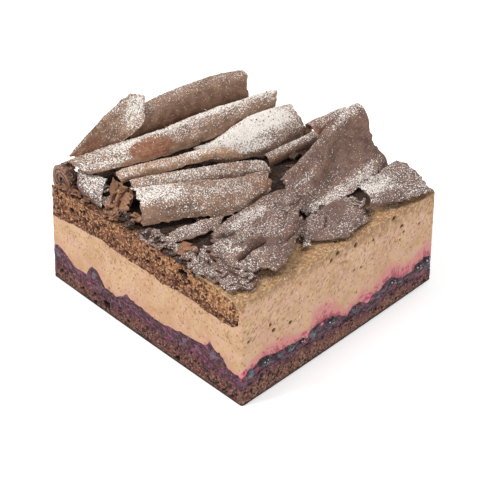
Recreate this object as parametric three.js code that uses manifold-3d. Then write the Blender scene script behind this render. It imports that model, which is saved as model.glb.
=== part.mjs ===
// A square slice of layered mousse cake: chocolate sponge, a jelly of dark berries, light mousse with
// a second sponge set into it, and a heap of thin chocolate shavings on top.
// Millimetres, +Z up. The origin is the middle of the underside; the cut face looks along -Y and the
// coated outer face along +X.
import * as THREE from 'three';
import { mergeVertices } from 'three/addons/utils/BufferGeometryUtils.js';
import Module from 'manifold-3d';

const wasm = await Module();
wasm.setup();

// Driving dimensions
const SIDE = 80;               // width of the slice at its top
const HALF = SIDE / 2;
const HEIGHT = 33;             // height of the cake at the left front corner
const FLARE = 1.15;            // how much further out each side stands at the bottom
const GAP = 0.4;               // clearance between neighbouring layers
const RISE_X = 1.4;            // the top rises towards +X along the front
const FALL_Y = 0.5;            // and falls towards +Y along the left side
const FALL_CORNER = 2.15;      // with a further drop towards the right back corner
const BASE_THICK = 6.2;        // lower sponge
const JELLY_THICK = 4.4;       // berry jelly, on average
const SPONGE_BOTTOM = 24.4;    // underside of the upper sponge
const SPONGE_INSET = 3;        // mousse between the upper sponge and the outer face
const SKIN = 1.5;              // mousse above the upper sponge near the outer face
const SKIN_START = 2;          // where along X that skin begins
const SKIN_RUN = 12;           // and the distance over which it thickens
const CHOC = 0.95;             // thickness of a shaving
const LAYER_STEPS = 14;        // facets along each side of a layer
const BASE_SWELLS = {          // uneven top of the lower sponge: height, length and place of a crest
  alongX: [0.5, 23, 24],
  alongY: [0.7, 47, -30],
};
const JELLY_SWELLS = {         // and of the jelly
  alongX: [1.2, 16.4, -21],
  slanted: [0.8, 39, 38],
  alongY: [0.8, 29, -33],
};
const SLANT = 1 / 3;           // how fast the slanted swell turns towards -Y
const DEG = Math.PI / 180;

const group = new THREE.Group();

const material = (name, color, roughness) =>
  Object.assign(new THREE.MeshStandardMaterial({ color, roughness, metalness: 0 }), { name });

const sponge = material('dark_sponge', 0x5d3c30, 0.95);
const jelly = material('berry_jelly', 0x4a2338, 0.3);
const mousse = material('mousse', 0xd6ae8c, 0.75);
const chocolate = material('dusted_chocolate', 0x8a7468, 0.6);
const bareChocolate = material('bare_chocolate', 0x7a4a34, 0.55);

function addPart(name, geometry, look) {
  const mesh = new THREE.Mesh(geometry, look);
  mesh.name = name;
  group.add(mesh);
}

// ---- heights of the surfaces between the layers ----

const across = (v) => (v + HALF) / SIDE;

function cakeTop(x, y) {
  const s = across(x);
  const t = across(y);
  return HEIGHT + RISE_X * s - FALL_Y * t - FALL_CORNER * s * t;
}

function swell(v, [height, length, crest]) {
  return height * Math.cos((2 * Math.PI * (v - crest)) / length);
}

function baseTop(x, y) {
  return BASE_THICK + swell(x, BASE_SWELLS.alongX) + swell(y, BASE_SWELLS.alongY);
}

function jellyTop(x, y) {
  const { alongX, slanted, alongY } = JELLY_SWELLS;
  return BASE_THICK + JELLY_THICK + swell(x, alongX) + swell(x - y * SLANT, slanted) + swell(y, alongY);
}

function skin(x) {
  return SKIN * THREE.MathUtils.smoothstep(x, SKIN_START, SKIN_START + SKIN_RUN);
}

const spongeTop = (x, y) => cakeTop(x, y) - skin(x);

// ---- layers ----

function halfWidth(z) {
  return HALF + FLARE * (1 - z / HEIGHT);
}

// A slab over the whole plan of the cake between two height functions; its sides follow the flare.
function slab(bottom, top, x0 = -HALF, x1 = HALF, y0 = -HALF, y1 = HALF) {
  const geometry = new THREE.BoxGeometry(x1 - x0, y1 - y0, 1, LAYER_STEPS, LAYER_STEPS, 1);
  const at = geometry.attributes.position;
  for (let i = 0; i < at.count; i++) {
    const x = at.getX(i) + (x0 + x1) / 2;
    const y = at.getY(i) + (y0 + y1) / 2;
    const z = at.getZ(i) < 0 ? bottom(x, y) : top(x, y);
    const spread = halfWidth(z) / HALF;
    at.setXYZ(i, x * spread, y * spread, z);
  }
  return geometry;
}

function toSolid(geometry) {
  const bare = geometry.clone();
  bare.deleteAttribute('normal');
  bare.deleteAttribute('uv');
  const merged = mergeVertices(bare, 1e-4);
  return new wasm.Manifold(new wasm.Mesh({
    numProp: 3,
    vertProperties: new Float32Array(merged.attributes.position.array),
    triVerts: new Uint32Array(merged.index.array),
  }));
}

function toGeometry(solid) {
  const mesh = solid.getMesh();
  const geometry = new THREE.BufferGeometry();
  geometry.setAttribute('position', new THREE.BufferAttribute(mesh.vertProperties, 3));
  geometry.setIndex(new THREE.BufferAttribute(mesh.triVerts, 1));
  geometry.computeVertexNormals();
  return geometry;
}

function addLayers() {
  const flat = () => 0;
  const inner = HALF - SPONGE_INSET;
  addPart('base_sponge', slab(flat, baseTop), sponge);
  addPart('berry_layer', slab((x, y) => baseTop(x, y) + GAP, jellyTop), jelly);
  addPart('top_sponge', slab(() => SPONGE_BOTTOM, spongeTop, -HALF, inner), sponge);
  const block = toSolid(slab((x, y) => jellyTop(x, y) + GAP, cakeTop));
  const past = HALF + 5;
  const under = () => SPONGE_BOTTOM - GAP;
  const over = (x, y) => spongeTop(x, y) + GAP;
  const slot = slab(under, over, -past, inner + GAP, -past, past);
  addPart('mousse', toGeometry(block.subtract(toSolid(slot))), mousse);
}

// ---- chocolate shavings ----

// The value of a list spread evenly over 0..1, on a smooth curve through its entries.
function along(list, u) {
  const points = list.map((v) => new THREE.Vector3(v, 0, 0));
  return points.length < 2 ? list[0] : new THREE.CatmullRomCurve3(points).getPoint(u).x;
}

const rail = (points) => new THREE.CatmullRomCurve3(points.map((p) => new THREE.Vector3(...p)));

// A thin sheet between two edge lines. It rises from its foot line to its brow line in an arc that
// stands out by bulge, then curls back through turn degrees over the length of its hook, and at last
// hangs straight. Each of these is a list that is spread along the shaving.
function shaving(piece) {
  const { name, brow, foot, steps, look = chocolate } = piece;
  const { bulge = [0], hook = [0.5], turn = [0], hang = [0] } = piece;
  const [nu, nv] = steps;
  const geometry = new THREE.BoxGeometry(1, 1, 1, nu, nv, 1);
  const at = geometry.attributes.position;
  const upper = rail(brow);
  const lower = rail(foot);
  const point = new THREE.Vector3();
  for (let i = 0; i < at.count; i++) {
    const u = at.getX(i) + 0.5;
    const shape = [along(bulge, u), along(hook, u), along(turn, u) * DEG, along(hang, u)];
    sheetPoint(upper, lower, u, shape, at.getY(i) + 0.5, at.getZ(i) * CHOC, point);
    at.setXYZ(i, point.x, point.y, point.z);
  }
  addPart(name, geometry, look);
}

// The point of a shaving at u along it and v up and over its section, offset from its middle surface.
function sheetPoint(upper, lower, u, [bulge, hook, turn, hang], v, offset, target) {
  const brow = upper.getPoint(u);
  const foot = lower.getPoint(u);
  const run = upper.getTangent(u).add(lower.getTangent(u)).normalize();
  const rise = brow.clone().sub(foot);
  const chord = rise.length();
  rise.normalize();
  const out = new THREE.Vector3().crossVectors(run, rise).normalize();
  const half = 2 * Math.atan((2 * nonZero(bulge)) / chord);
  const radius = chord / 2 / Math.sin(half);
  const face = 2 * radius * half;
  const curl = hook / nonZero(turn);
  const walked = v * (face + hook + hang);
  const onFace = Math.min(walked, face);
  const onHook = Math.min(walked - onFace, hook);
  const faceAngle = half * ((2 * onFace) / face - 1);
  const angle = faceAngle + onHook / curl;
  const straight = walked - onFace - onHook;
  const curledUp = curl * (Math.sin(angle) - Math.sin(faceAngle));
  const curledOut = curl * (Math.cos(angle) - Math.cos(faceAngle));
  const up = radius * (Math.sin(faceAngle) + Math.sin(half)) + curledUp;
  const proud = radius * (Math.cos(faceAngle) - Math.cos(half)) + curledOut;
  target.copy(foot);
  target.addScaledVector(rise, up + straight * Math.cos(angle) + offset * Math.sin(angle));
  target.addScaledVector(out, proud - straight * Math.sin(angle) + offset * Math.cos(angle));
}

const nonZero = (value) => (Math.abs(value) < 1e-3 ? 1e-3 : value);

// A tight little roll along Y: one strip wound into a spiral.
function spiralRoll({ name, centre, length, inner, outer, winds, start, thick, steps }) {
  const geometry = new THREE.BoxGeometry(1, 1, 1, ...steps, 1);
  const at = geometry.attributes.position;
  for (let i = 0; i < at.count; i++) {
    const v = at.getX(i) + 0.5;
    const angle = start * DEG - winds * 2 * Math.PI * v;
    const radius = THREE.MathUtils.lerp(inner, outer, v) + at.getZ(i) * thick;
    const y = centre[1] + length * at.getY(i);
    at.setXYZ(i, centre[0] + radius * Math.cos(angle), y, centre[2] + radius * Math.sin(angle));
  }
  addPart(name, geometry, chocolate);
}

// Long rolls and sheets, from the back left to the front
function addHeap() {
  shaving({
    name: 'shaving_back',
    brow: [[-33.6, -15, 43.8], [-31.7, -2.5, 46.6], [-31, 20, 46.4], [-30.7, 33.3, 44.8]],
    foot: [[-32.9, -14.6, 40.6], [-30.6, -2.5, 41.2], [-28.7, 20, 40], [-28.3, 30.5, 38.9]],
    bulge: [0.4],
    hook: [10, 10, 10, 9.4],
    turn: [150],
    hang: [7.6],
    steps: [10, 10],
  });
  shaving({
    name: 'shaving_point',
    brow: [[-37, -34, 41.2], [-37.1, -20.7, 49.6], [-36.9, -9.3, 53.2], [-34.6, -6.6, 51.4]],
    foot: [[-36.6, -33.2, 40.2], [-34.4, -22.6, 40.4], [-31.4, -15.2, 44.4], [-29.8, -10.9, 47]],
    steps: [8, 5],
  });
  shaving({
    name: 'shaving_second',
    brow: [[-31.8, -34.9, 41.9], [-24.2, -11.2, 44.4], [-22.2, 11.7, 44.1], [-19.8, 36, 42.5]],
    foot: [[-25.8, -33.4, 40.9], [-19.7, -11.2, 39.9], [-17.9, 11.7, 39.5], [-18.1, 31.6, 39.3]],
    bulge: [0.2, 0.5, 0.5, 0.4],
    hook: [3.2, 5.8, 5.8, 5.8],
    turn: [50, 125, 130, 130],
    hang: [0, 6.5, 7, 6.5],
    steps: [11, 9],
  });
  shaving({
    name: 'shaving_white',
    brow: [[-17.1, -4, 40.3], [-16.7, 3.2, 39.8], [-16.9, 19.7, 41.6], [-14.4, 36.5, 40.7]],
    foot: [[-15.8, -4, 37.8], [-12.6, 3, 34.4], [-7.6, 18, 33.6], [-7.2, 34.5, 33.4]],
    bulge: [0.2, 0.8, 1.6, 1.4],
    hook: [0.4, 0.4, 1, 1.2],
    turn: [10, 10, 30, 40],
    steps: [11, 8],
  });
  shaving({
    name: 'shaving_slim',
    brow: [[-22.3, -29.8, 40], [-15.6, -14.2, 41.1], [-10.9, -1.8, 41.4], [-7.9, 5.6, 39.8]],
    foot: [[-20.7, -29.3, 37.7], [-13.6, -13.9, 38.9], [-9, -1.4, 39.3], [-6, 6, 37.6]],
    bulge: [0.3],
    hook: [4.4],
    turn: [170],
    steps: [8, 7],
  });
  shaving({
    name: 'shaving_front_upper',
    brow: [[-15.5, -30, 40.2], [-6.6, -10.8, 39.9], [-2.8, 4, 37.8], [-0.7, 10.8, 35.9]],
    foot: [[-12.8, -30.5, 37.4], [-3.6, -10, 36.8], [0.4, 4.8, 35], [1.6, 10.4, 33.9]],
    bulge: [0.2],
    hook: [3.4],
    turn: [120],
    hang: [3.8, 3.7, 2.4, 0.8],
    steps: [10, 8],
  });
  shaving({
    name: 'shaving_front',
    brow: [[-13.3, -31.9, 40.5], [-5, -18, 40.5], [0, -8.4, 39.4], [3.5, 7, 37]],
    foot: [[-3, -37.5, 34.5], [4, -23.2, 34.9], [10, -14.8, 34.7], [9.5, 2.8, 35.2]],
    bulge: [1.2, 1.6, 1.6, 0.8],
    turn: [20],
    steps: [11, 8],
  });
  shaving({
    name: 'shaving_front_lower',
    brow: [[5.3, -35.1, 35.6], [6.8, -25.2, 35.8], [9.9, -17.4, 35.6]],
    foot: [[8.9, -35.2, 34.8], [11.3, -28.8, 34.7], [11.4, -20.8, 34.7]],
    steps: [7, 4],
  });
  shaving({
    name: 'shaving_middle',
    brow: [[-2.4, 12.9, 35.5], [-0.7, 36, 35.8]],
    foot: [[-1.9, 12.9, 33.4], [0, 35, 33.2]],
    bulge: [0.2],
    hook: [4.6],
    turn: [150],
    steps: [6, 8],
  });
}

// Wide hollow sheet at the right with its rolled upper edge, and the plates along the outer face
function addRightSide() {
  shaving({
    name: 'shaving_hollow',
    brow: [[11.2, 4.2, 38.1], [9.6, 17.8, 39.8], [8.8, 30, 43.5], [12, 39.4, 49]],
    foot: [[26, 0, 34.6], [26, 18, 34.4], [25, 30, 34.4], [23, 38.7, 34.2]],
    bulge: [-1.5, -2.5, -2.6, 2.2],
    hook: [2, 2.6, 4, 6.5],
    turn: [110, 110, 100, 95],
    steps: [12, 10],
  });
  shaving({
    name: 'shaving_fold',
    brow: [[0.8, 26.4, 43.4], [4.4, 40, 45.8]],
    foot: [[4.8, 27, 40.8], [6, 40, 43.6]],
    bulge: [0.6],
    hook: [4.6],
    turn: [170],
    steps: [5, 7],
  });
  shaving({
    name: 'shaving_corner',
    brow: [[29.2, 17.4, 38], [27.8, 28, 37.2], [27.7, 38.8, 38]],
    foot: [[34.8, 15.8, 34.4], [38.9, 28, 33.4], [40.6, 39.3, 32.8]],
    bulge: [0.8],
    hook: [2],
    turn: [50],
    steps: [8, 6],
  });
  shaving({
    name: 'shaving_side',
    brow: [[30.5, -6.5, 34.7], [28.4, 5, 35.4], [28, 15.4, 34.9]],
    foot: [[33, -8.6, 34.5], [39.3, 0.5, 34.2], [37.3, 14, 34]],
    bulge: [0.2, 0.5, 0.3],
    steps: [7, 4],
  });
  shaving({
    name: 'shaving_big',
    brow: [[13.5, -26.6, 36.2], [13.4, -14, 36.7], [14.4, -1.4, 37.9], [17.8, 6.2, 38]],
    foot: [[19, -30.6, 36.6], [32, -29.4, 37], [38.6, -24.6, 36.7], [27.5, -3.2, 36.6]],
    bulge: [0.4, 1.2, 1.6, 1],
    hook: [1.5, 2.5, 2.5, 1],
    turn: [30, 60, 60, 30],
    steps: [10, 10],
  });
  shaving({
    name: 'shaving_ragged',
    brow: [[15, -31, 35.4], [24, -29, 35.2], [34, -26, 35.2]],
    foot: [[18.5, -38, 35], [28.5, -40.4, 35.1], [39.3, -36, 35.3]],
    steps: [8, 4],
  });
}

// Small broken pieces at the left corner and along the cut
function addBits() {
  shaving({
    name: 'shaving_left',
    brow: [[-32, -35.9, 40.2], [-25.5, -31.5, 38.6]],
    foot: [[-27, -38.3, 34.2], [-18.5, -38.2, 34.3]],
    bulge: [0.5],
    steps: [5, 5],
  });
  shaving({
    name: 'fragment_brown',
    brow: [[-20.6, -32.4, 42], [-17.5, -31.6, 38.4], [-12.6, -32.2, 37.2]],
    foot: [[-17.3, -37.5, 34.5], [-14.3, -38, 34.5], [-9.6, -35, 35]],
    bulge: [0.3, -0.8, 0.6],
    steps: [6, 4],
    look: bareChocolate,
  });
  shaving({
    name: 'fragment_red',
    brow: [[11, -34.6, 35.8], [14.2, -33.4, 36]],
    foot: [[12, -38.8, 34.8], [16, -37.5, 35.2]],
    bulge: [0.3],
    steps: [3, 3],
    look: bareChocolate,
  });
  shaving({
    name: 'fragment_edge',
    brow: [[-1, -39.5, 34.6], [8.6, -36.8, 34.7]],
    foot: [[0.5, -41.1, 34.4], [9.5, -39.8, 34.7]],
    steps: [4, 2],
  });
  spiralRoll({
    name: 'roll_corner',
    centre: [-35.3, -36.7, 37.1],
    length: 2.8,
    inner: 1.2,
    outer: 3.4,
    winds: 1.8,
    start: 60,
    thick: 0.6,
    steps: [18, 3],
  });
}

addLayers();
addHeap();
addRightSide();
addBits();

export default group;
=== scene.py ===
"""A square slice of mousse cake with berry jelly and dusted chocolate shavings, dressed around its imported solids.

Sizes are in millimetres until a mesh is written, which is in metres. +Z is up, the cut face looks along -Y and
the outer face along +X.
"""

from __future__ import annotations

import logging
import math
from dataclasses import dataclass, field
from enum import Enum
from typing import Callable, Sequence

import bmesh
import bpy
import numpy as np
from mathutils import Matrix, Vector

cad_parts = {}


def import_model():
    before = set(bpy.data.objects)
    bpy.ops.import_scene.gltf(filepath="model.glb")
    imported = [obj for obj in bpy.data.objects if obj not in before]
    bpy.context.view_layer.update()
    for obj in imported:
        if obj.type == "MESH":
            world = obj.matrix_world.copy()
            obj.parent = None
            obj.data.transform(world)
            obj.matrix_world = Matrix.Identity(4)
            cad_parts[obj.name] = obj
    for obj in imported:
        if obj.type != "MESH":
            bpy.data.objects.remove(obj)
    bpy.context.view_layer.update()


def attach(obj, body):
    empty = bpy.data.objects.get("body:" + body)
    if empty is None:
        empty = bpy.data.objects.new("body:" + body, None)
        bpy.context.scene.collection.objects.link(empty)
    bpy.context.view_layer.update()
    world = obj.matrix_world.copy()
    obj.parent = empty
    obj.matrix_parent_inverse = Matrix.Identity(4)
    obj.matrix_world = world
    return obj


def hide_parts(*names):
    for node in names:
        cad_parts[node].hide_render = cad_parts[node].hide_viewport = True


MM = 0.001
SEED = 20
SHARP = math.radians(50)  # edges bent more than this stay sharp
LOG = logging.getLogger("cake")

Points = np.ndarray
Field = Callable[[Points, Points], Points]
Pair = tuple[float, float]
Triple = tuple[float, float, float]
Colour = str  # a #rrggbb code


class Side(Enum):
    """The four upright faces of the slice, each a quarter turn after the one before."""

    FRONT = "front"
    RIGHT = "right"
    BACK = "back"
    LEFT = "left"


# ---------------------------------------------------------------- patterns in space


class Grain:
    """Repeatable random patterns in space, in millimetres."""

    @staticmethod
    def hashed(cell: Points, seed: int) -> Points:
        """A random number in 0..1 for each whole-number cell.

        Args:
            cell: whole numbers, three to a row.
            seed: which pattern.

        Returns:
            One number to a row.
        """
        mixed = np.full(cell.shape[:-1], seed * 374761393 + 668265263, np.uint64)
        for axis, prime in enumerate((73856093, 19349663, 83492791)):
            whole = cell[..., axis].astype(np.int64).astype(np.uint64)
            mixed = (mixed ^ (whole * np.uint64(prime))) & np.uint64(0xFFFFFFFF)
            mixed = (mixed ^ (mixed >> np.uint64(15))) * np.uint64(2246822519) & np.uint64(0xFFFFFFFF)
            mixed = (mixed ^ (mixed >> np.uint64(13))) * np.uint64(3266489917) & np.uint64(0xFFFFFFFF)
        return (mixed ^ (mixed >> np.uint64(16))).astype(float) / 0xFFFFFFFF

    @staticmethod
    def smooth(points: Points, size: float, seed: int) -> Points:
        """Soft lumps of the given size, from -1 to 1."""
        scaled = points / size
        low = np.floor(scaled)
        part = scaled - low
        part = part * part * (3 - 2 * part)
        total = np.zeros(len(points))
        for corner in range(8):
            step = np.array([corner & 1, corner >> 1 & 1, corner >> 2 & 1])
            weight = np.prod(np.where(step == 1, part, 1 - part), axis=1)
            total += weight * Grain.hashed(low + step, seed)
        return total * 2 - 1

    @staticmethod
    def layered(points: Points, size: float, seed: int, octaves: int = 3) -> Points:
        """Soft lumps with finer ones on them, about -1 to 1."""
        total = np.zeros(len(points))
        for octave in range(octaves):
            total += Grain.smooth(points, size / 2**octave, seed + octave) / 2**octave
        return total / 1.6

    @staticmethod
    def cells(points: Points, size: float, seed: int) -> tuple[Points, Points]:
        """The nearest of many scattered seeds.

        Args:
            points: where to look, three to a row.
            size: mean distance between the seeds.
            seed: which pattern.

        Returns:
            The distance to the nearest seed, in millimetres, and that seed's own random number.
        """
        scaled = points / size
        low = np.floor(scaled)
        best = np.full(len(points), 9.0)
        own = np.zeros(len(points))
        for shift in np.ndindex(3, 3, 3):
            cell = low + np.array(shift) - 1
            place = cell + np.stack([Grain.hashed(cell, seed + 11 * k) for k in range(3)], axis=1)
            away = np.linalg.norm(place - scaled, axis=1)
            nearer = away < best
            best = np.where(nearer, away, best)
            own = np.where(nearer, Grain.hashed(cell, seed + 77), own)
        return best * size, own


def smoothstep(value: Points, low: float, high: float) -> Points:
    """0 at low, 1 at high and soft between."""
    part = np.clip((value - low) / (high - low), 0, 1)
    return part * part * (3 - 2 * part)


def spline(stations: Sequence[Sequence[float]], u: Points) -> Points:
    """A smooth centripetal curve through evenly numbered stations.

    Args:
        stations: the points that it goes through.
        u: where to read it, 0 to 1.

    Returns:
        One point to a row.
    """
    given = np.array(stations, float)
    if len(given) == 1:
        return np.repeat(given, len(u), axis=0)
    padded = np.vstack([2 * given[0] - given[1], given, 2 * given[-1] - given[-2]])
    place = u * (len(given) - 1)
    start = np.clip(np.floor(place).astype(int), 0, len(given) - 2)
    part = (place - start)[:, None]
    p0, p1, p2, p3 = (padded[start + k] for k in range(4))
    d0, d1, d2 = (
        np.maximum(np.linalg.norm(b - a, axis=1)[:, None], 1e-8) ** 0.5 for a, b in ((p0, p1), (p1, p2), (p2, p3))
    )
    d1 = np.where(d1 < 1e-4, 1, d1)
    d0 = np.where(d0 < 1e-4, d1, d0)
    d2 = np.where(d2 < 1e-4, d1, d2)
    t1 = ((p1 - p0) / d0 - (p2 - p0) / (d0 + d1) + (p2 - p1) / d1) * d1
    t2 = ((p2 - p1) / d1 - (p3 - p1) / (d1 + d2) + (p3 - p2) / d2) * d1
    square = part * part
    cube = square * part
    return (
        (2 * cube - 3 * square + 1) * p1
        + (cube - 2 * square + part) * t1
        + (3 * square - 2 * cube) * p2
        + (cube - square) * t2
    )


def along(values: Sequence[float], u: Points) -> Points:
    """A list of numbers spread evenly over 0..1, read at u."""
    return spline([[value] for value in values], u)[:, 0]


# ---------------------------------------------------------------- mesh tools


def clear_selection() -> None:
    """Leaves edit mode and deselects every object."""
    if bpy.context.object and bpy.context.object.mode != "OBJECT":
        bpy.ops.object.mode_set(mode="OBJECT")
    bpy.ops.object.select_all(action="DESELECT")


def pick_only(piece: bpy.types.Object) -> None:
    """Makes one piece the only one selected, and active."""
    clear_selection()
    piece.select_set(True)
    bpy.context.view_layer.objects.active = piece


def named(name: str) -> bpy.types.Object:
    """Names the piece just added, and its mesh."""
    piece = bpy.context.object
    piece.name = name
    piece.data.name = name
    return piece


def apply_modifier(piece: bpy.types.Object, kind: str, settings: dict[str, object]) -> None:
    """Adds a modifier with its settings and applies it."""
    pick_only(piece)
    modifier = piece.modifiers.new(kind.lower(), kind)
    for key, value in settings.items():
        setattr(modifier, key, value)
    bpy.ops.object.modifier_apply(modifier=modifier.name)


def read_all(items: bpy.types.bpy_prop_collection, name: str, width: int = 1, kind: type = float) -> Points:
    """One property of all the corners, faces or the like of a mesh.

    Args:
        items: the corners, faces or the like.
        name: the property.
        width: how many numbers each item has.
        kind: their type.

    Returns:
        One number to an item, or one row of them.
    """
    flat = np.empty(len(items) * width, kind)
    items.foreach_get(name, flat)
    return flat.reshape(-1, width) if width > 1 else flat


def read_points(piece: bpy.types.Object) -> Points:
    """A mesh's corners, in its own units."""
    return read_all(piece.data.vertices, "co", 3)


def write_points(piece: bpy.types.Object, points: Points) -> None:
    """Moves a mesh's corners."""
    piece.data.vertices.foreach_set("co", points.astype(np.float32).ravel())
    piece.data.update()


def read_normals(piece: bpy.types.Object) -> Points:
    """The outward direction at each corner."""
    return read_all(piece.data.vertices, "normal", 3)


def write_marks(piece: bpy.types.Object, **marks: "Points | float") -> None:
    """Stores numbers at each corner, or one number at all of them, for the finishes to read."""
    for name, values in marks.items():
        mark = piece.data.attributes.get(name) or piece.data.attributes.new(name, "FLOAT", "POINT")
        mark.data.foreach_set("value", np.broadcast_to(values, len(mark.data)).astype(np.float32))


def read_mark(piece: bpy.types.Object, name: str) -> Points:
    """The numbers stored at each corner."""
    return read_all(piece.data.attributes[name].data, "value")


def to_metres(piece: bpy.types.Object) -> None:
    """Turns a finished mesh from millimetres to metres."""
    write_points(piece, read_points(piece) * MM)


def face_outward() -> None:
    """Turns every face of the active mesh outward, and leaves edit mode."""
    bpy.ops.object.mode_set(mode="EDIT")
    bpy.ops.mesh.select_all(action="SELECT")
    bpy.ops.mesh.normals_make_consistent(inside=False)
    bpy.ops.object.mode_set(mode="OBJECT")


def choose(piece: bpy.types.Object, kind: str, chosen: Callable[[object], bool]) -> None:
    """In edit mode, selects the corners, edges or faces that a test says yes to, and nothing else.

    Args:
        piece: the mesh.
        kind: VERT, EDGE or FACE.
        chosen: says yes or no to each in turn.
    """
    bpy.ops.mesh.select_mode(type=kind)
    bpy.ops.mesh.select_all(action="DESELECT")
    shape = bmesh.from_edit_mesh(piece.data)
    for item in {"VERT": shape.verts, "EDGE": shape.edges, "FACE": shape.faces}[kind]:
        item.select_set(bool(chosen(item)))
    if kind == "VERT":
        shape.select_flush(True)
    bmesh.update_edit_mesh(piece.data)


def cut_faces(piece: bpy.types.Object, chosen: Callable[[Vector, Vector], bool], cuts: int) -> None:
    """Cuts the faces that a test of their middle and normal says yes to into finer ones, cuts to an edge."""
    pick_only(piece)
    bpy.ops.object.mode_set(mode="EDIT")
    choose(piece, "FACE", lambda face: chosen(face.calc_center_median(), face.normal))
    bpy.ops.mesh.subdivide(number_cuts=cuts)
    bpy.ops.object.mode_set(mode="OBJECT")


def celled_box(name: str, cells: tuple[int, int, int]) -> bpy.types.Object:
    """A closed box, a unit each way, whose faces are cut into cells; it stands on z = 0.

    Args:
        name: what to call it.
        cells: cells along each axis.

    Returns:
        The box.
    """
    clear_selection()
    bpy.ops.mesh.primitive_grid_add(x_subdivisions=cells[0], y_subdivisions=cells[1], size=1)
    box = named(name)
    bpy.ops.object.mode_set(mode="EDIT")
    bpy.ops.mesh.select_all(action="SELECT")
    bpy.ops.mesh.extrude_region_move(TRANSFORM_OT_translate={"value": (0, 0, 1)})
    choose(box, "EDGE", lambda edge: abs(edge.verts[0].co.z - edge.verts[1].co.z) > 0.5)
    bpy.ops.mesh.subdivide(number_cuts=cells[2] - 1)
    face_outward()
    return box


def copied_shape(template: bpy.types.Object) -> tuple[Points, Points]:
    """A small template's corners and triangles, and removes the template."""
    points = read_points(template)
    template.data.calc_loop_triangles()
    faces = read_all(template.data.loop_triangles, "vertices", 3, int)
    bpy.data.objects.remove(template)
    return points, faces


def piece_from(name: str, points: Points, faces: Points) -> bpy.types.Object:
    """A piece made of many copies whose corners are already in place, in millimetres."""
    mesh = bpy.data.meshes.new(name)
    mesh.from_pydata((points * MM).tolist(), [], faces.tolist())
    piece = bpy.data.objects.new(name, mesh)
    bpy.context.scene.collection.objects.link(piece)
    return piece


def write_sheet_place(piece: bpy.types.Object, flat: Points) -> None:
    """Writes each corner's place on its flat sheet as the UV map, in metres."""
    layers = piece.data.uv_layers
    layer = layers[0] if layers else layers.new(name="sheet")
    corners = read_all(piece.data.loops, "vertex_index", 1, int)
    layer.data.foreach_set("uv", (flat[corners, :2] * MM).astype(np.float32).ravel())


def dress(piece: bpy.types.Object, finish: bpy.types.Material, nodes: Sequence[str] = ()) -> None:
    """Gives a finished piece its material and its body, and hides the solids that it stands for.

    Args:
        piece: the finished piece.
        finish: its material.
        nodes: the solids that it replaces.
    """
    piece.data.materials.clear()
    piece.data.materials.append(finish)
    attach(piece, "root")
    if nodes:
        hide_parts(*nodes)
    LOG.info("%s: %d faces", piece.name, len(piece.data.polygons))


# ---------------------------------------------------------------- finishes


def linear(code: Colour) -> tuple[float, float, float, float]:
    """The linear colour of a #rrggbb code."""
    channels = [int(code[k : k + 2], 16) / 255 for k in (1, 3, 5)]
    red, green, blue = (c / 12.92 if c <= 0.04045 else ((c + 0.055) / 1.055) ** 2.4 for c in channels)
    return (red, green, blue, 1.0)


class Value:
    """A shader socket that holds a number, with Python's arithmetic."""

    def __init__(self, bench: "Bench", socket: bpy.types.NodeSocket) -> None:
        """Wraps a socket of the material on that bench."""
        self.bench = bench
        self.socket = socket

    def math(self, operation: str, *inputs: "Value | float") -> "Value":
        """One Math node over these inputs."""
        node = self.bench.node("ShaderNodeMath", {"operation": operation}, dict(enumerate(inputs)))
        return Value(self.bench, node.outputs[0])

    def __add__(self, other: "Value | float") -> "Value":
        """self + other"""
        return self.math("ADD", self, other)

    def __sub__(self, other: "Value | float") -> "Value":
        """self - other"""
        return self.math("SUBTRACT", self, other)

    def __rsub__(self, other: float) -> "Value":
        """other - self"""
        return self.math("SUBTRACT", other, self)

    def __mul__(self, other: "Value | float") -> "Value":
        """self * other"""
        return self.math("MULTIPLY", self, other)

    __radd__ = __add__
    __rmul__ = __mul__

    def step(self, low: "Value | float", high: "Value | float", start: float = 0, end: float = 1) -> "Value":
        """A soft step from start, at low, to end, at high."""
        settings = {"interpolation_type": "SMOOTHSTEP"}
        node = self.bench.node("ShaderNodeMapRange", settings, {0: self, 1: low, 2: high, 3: start, 4: end})
        return Value(self.bench, node.outputs[0])


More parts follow.
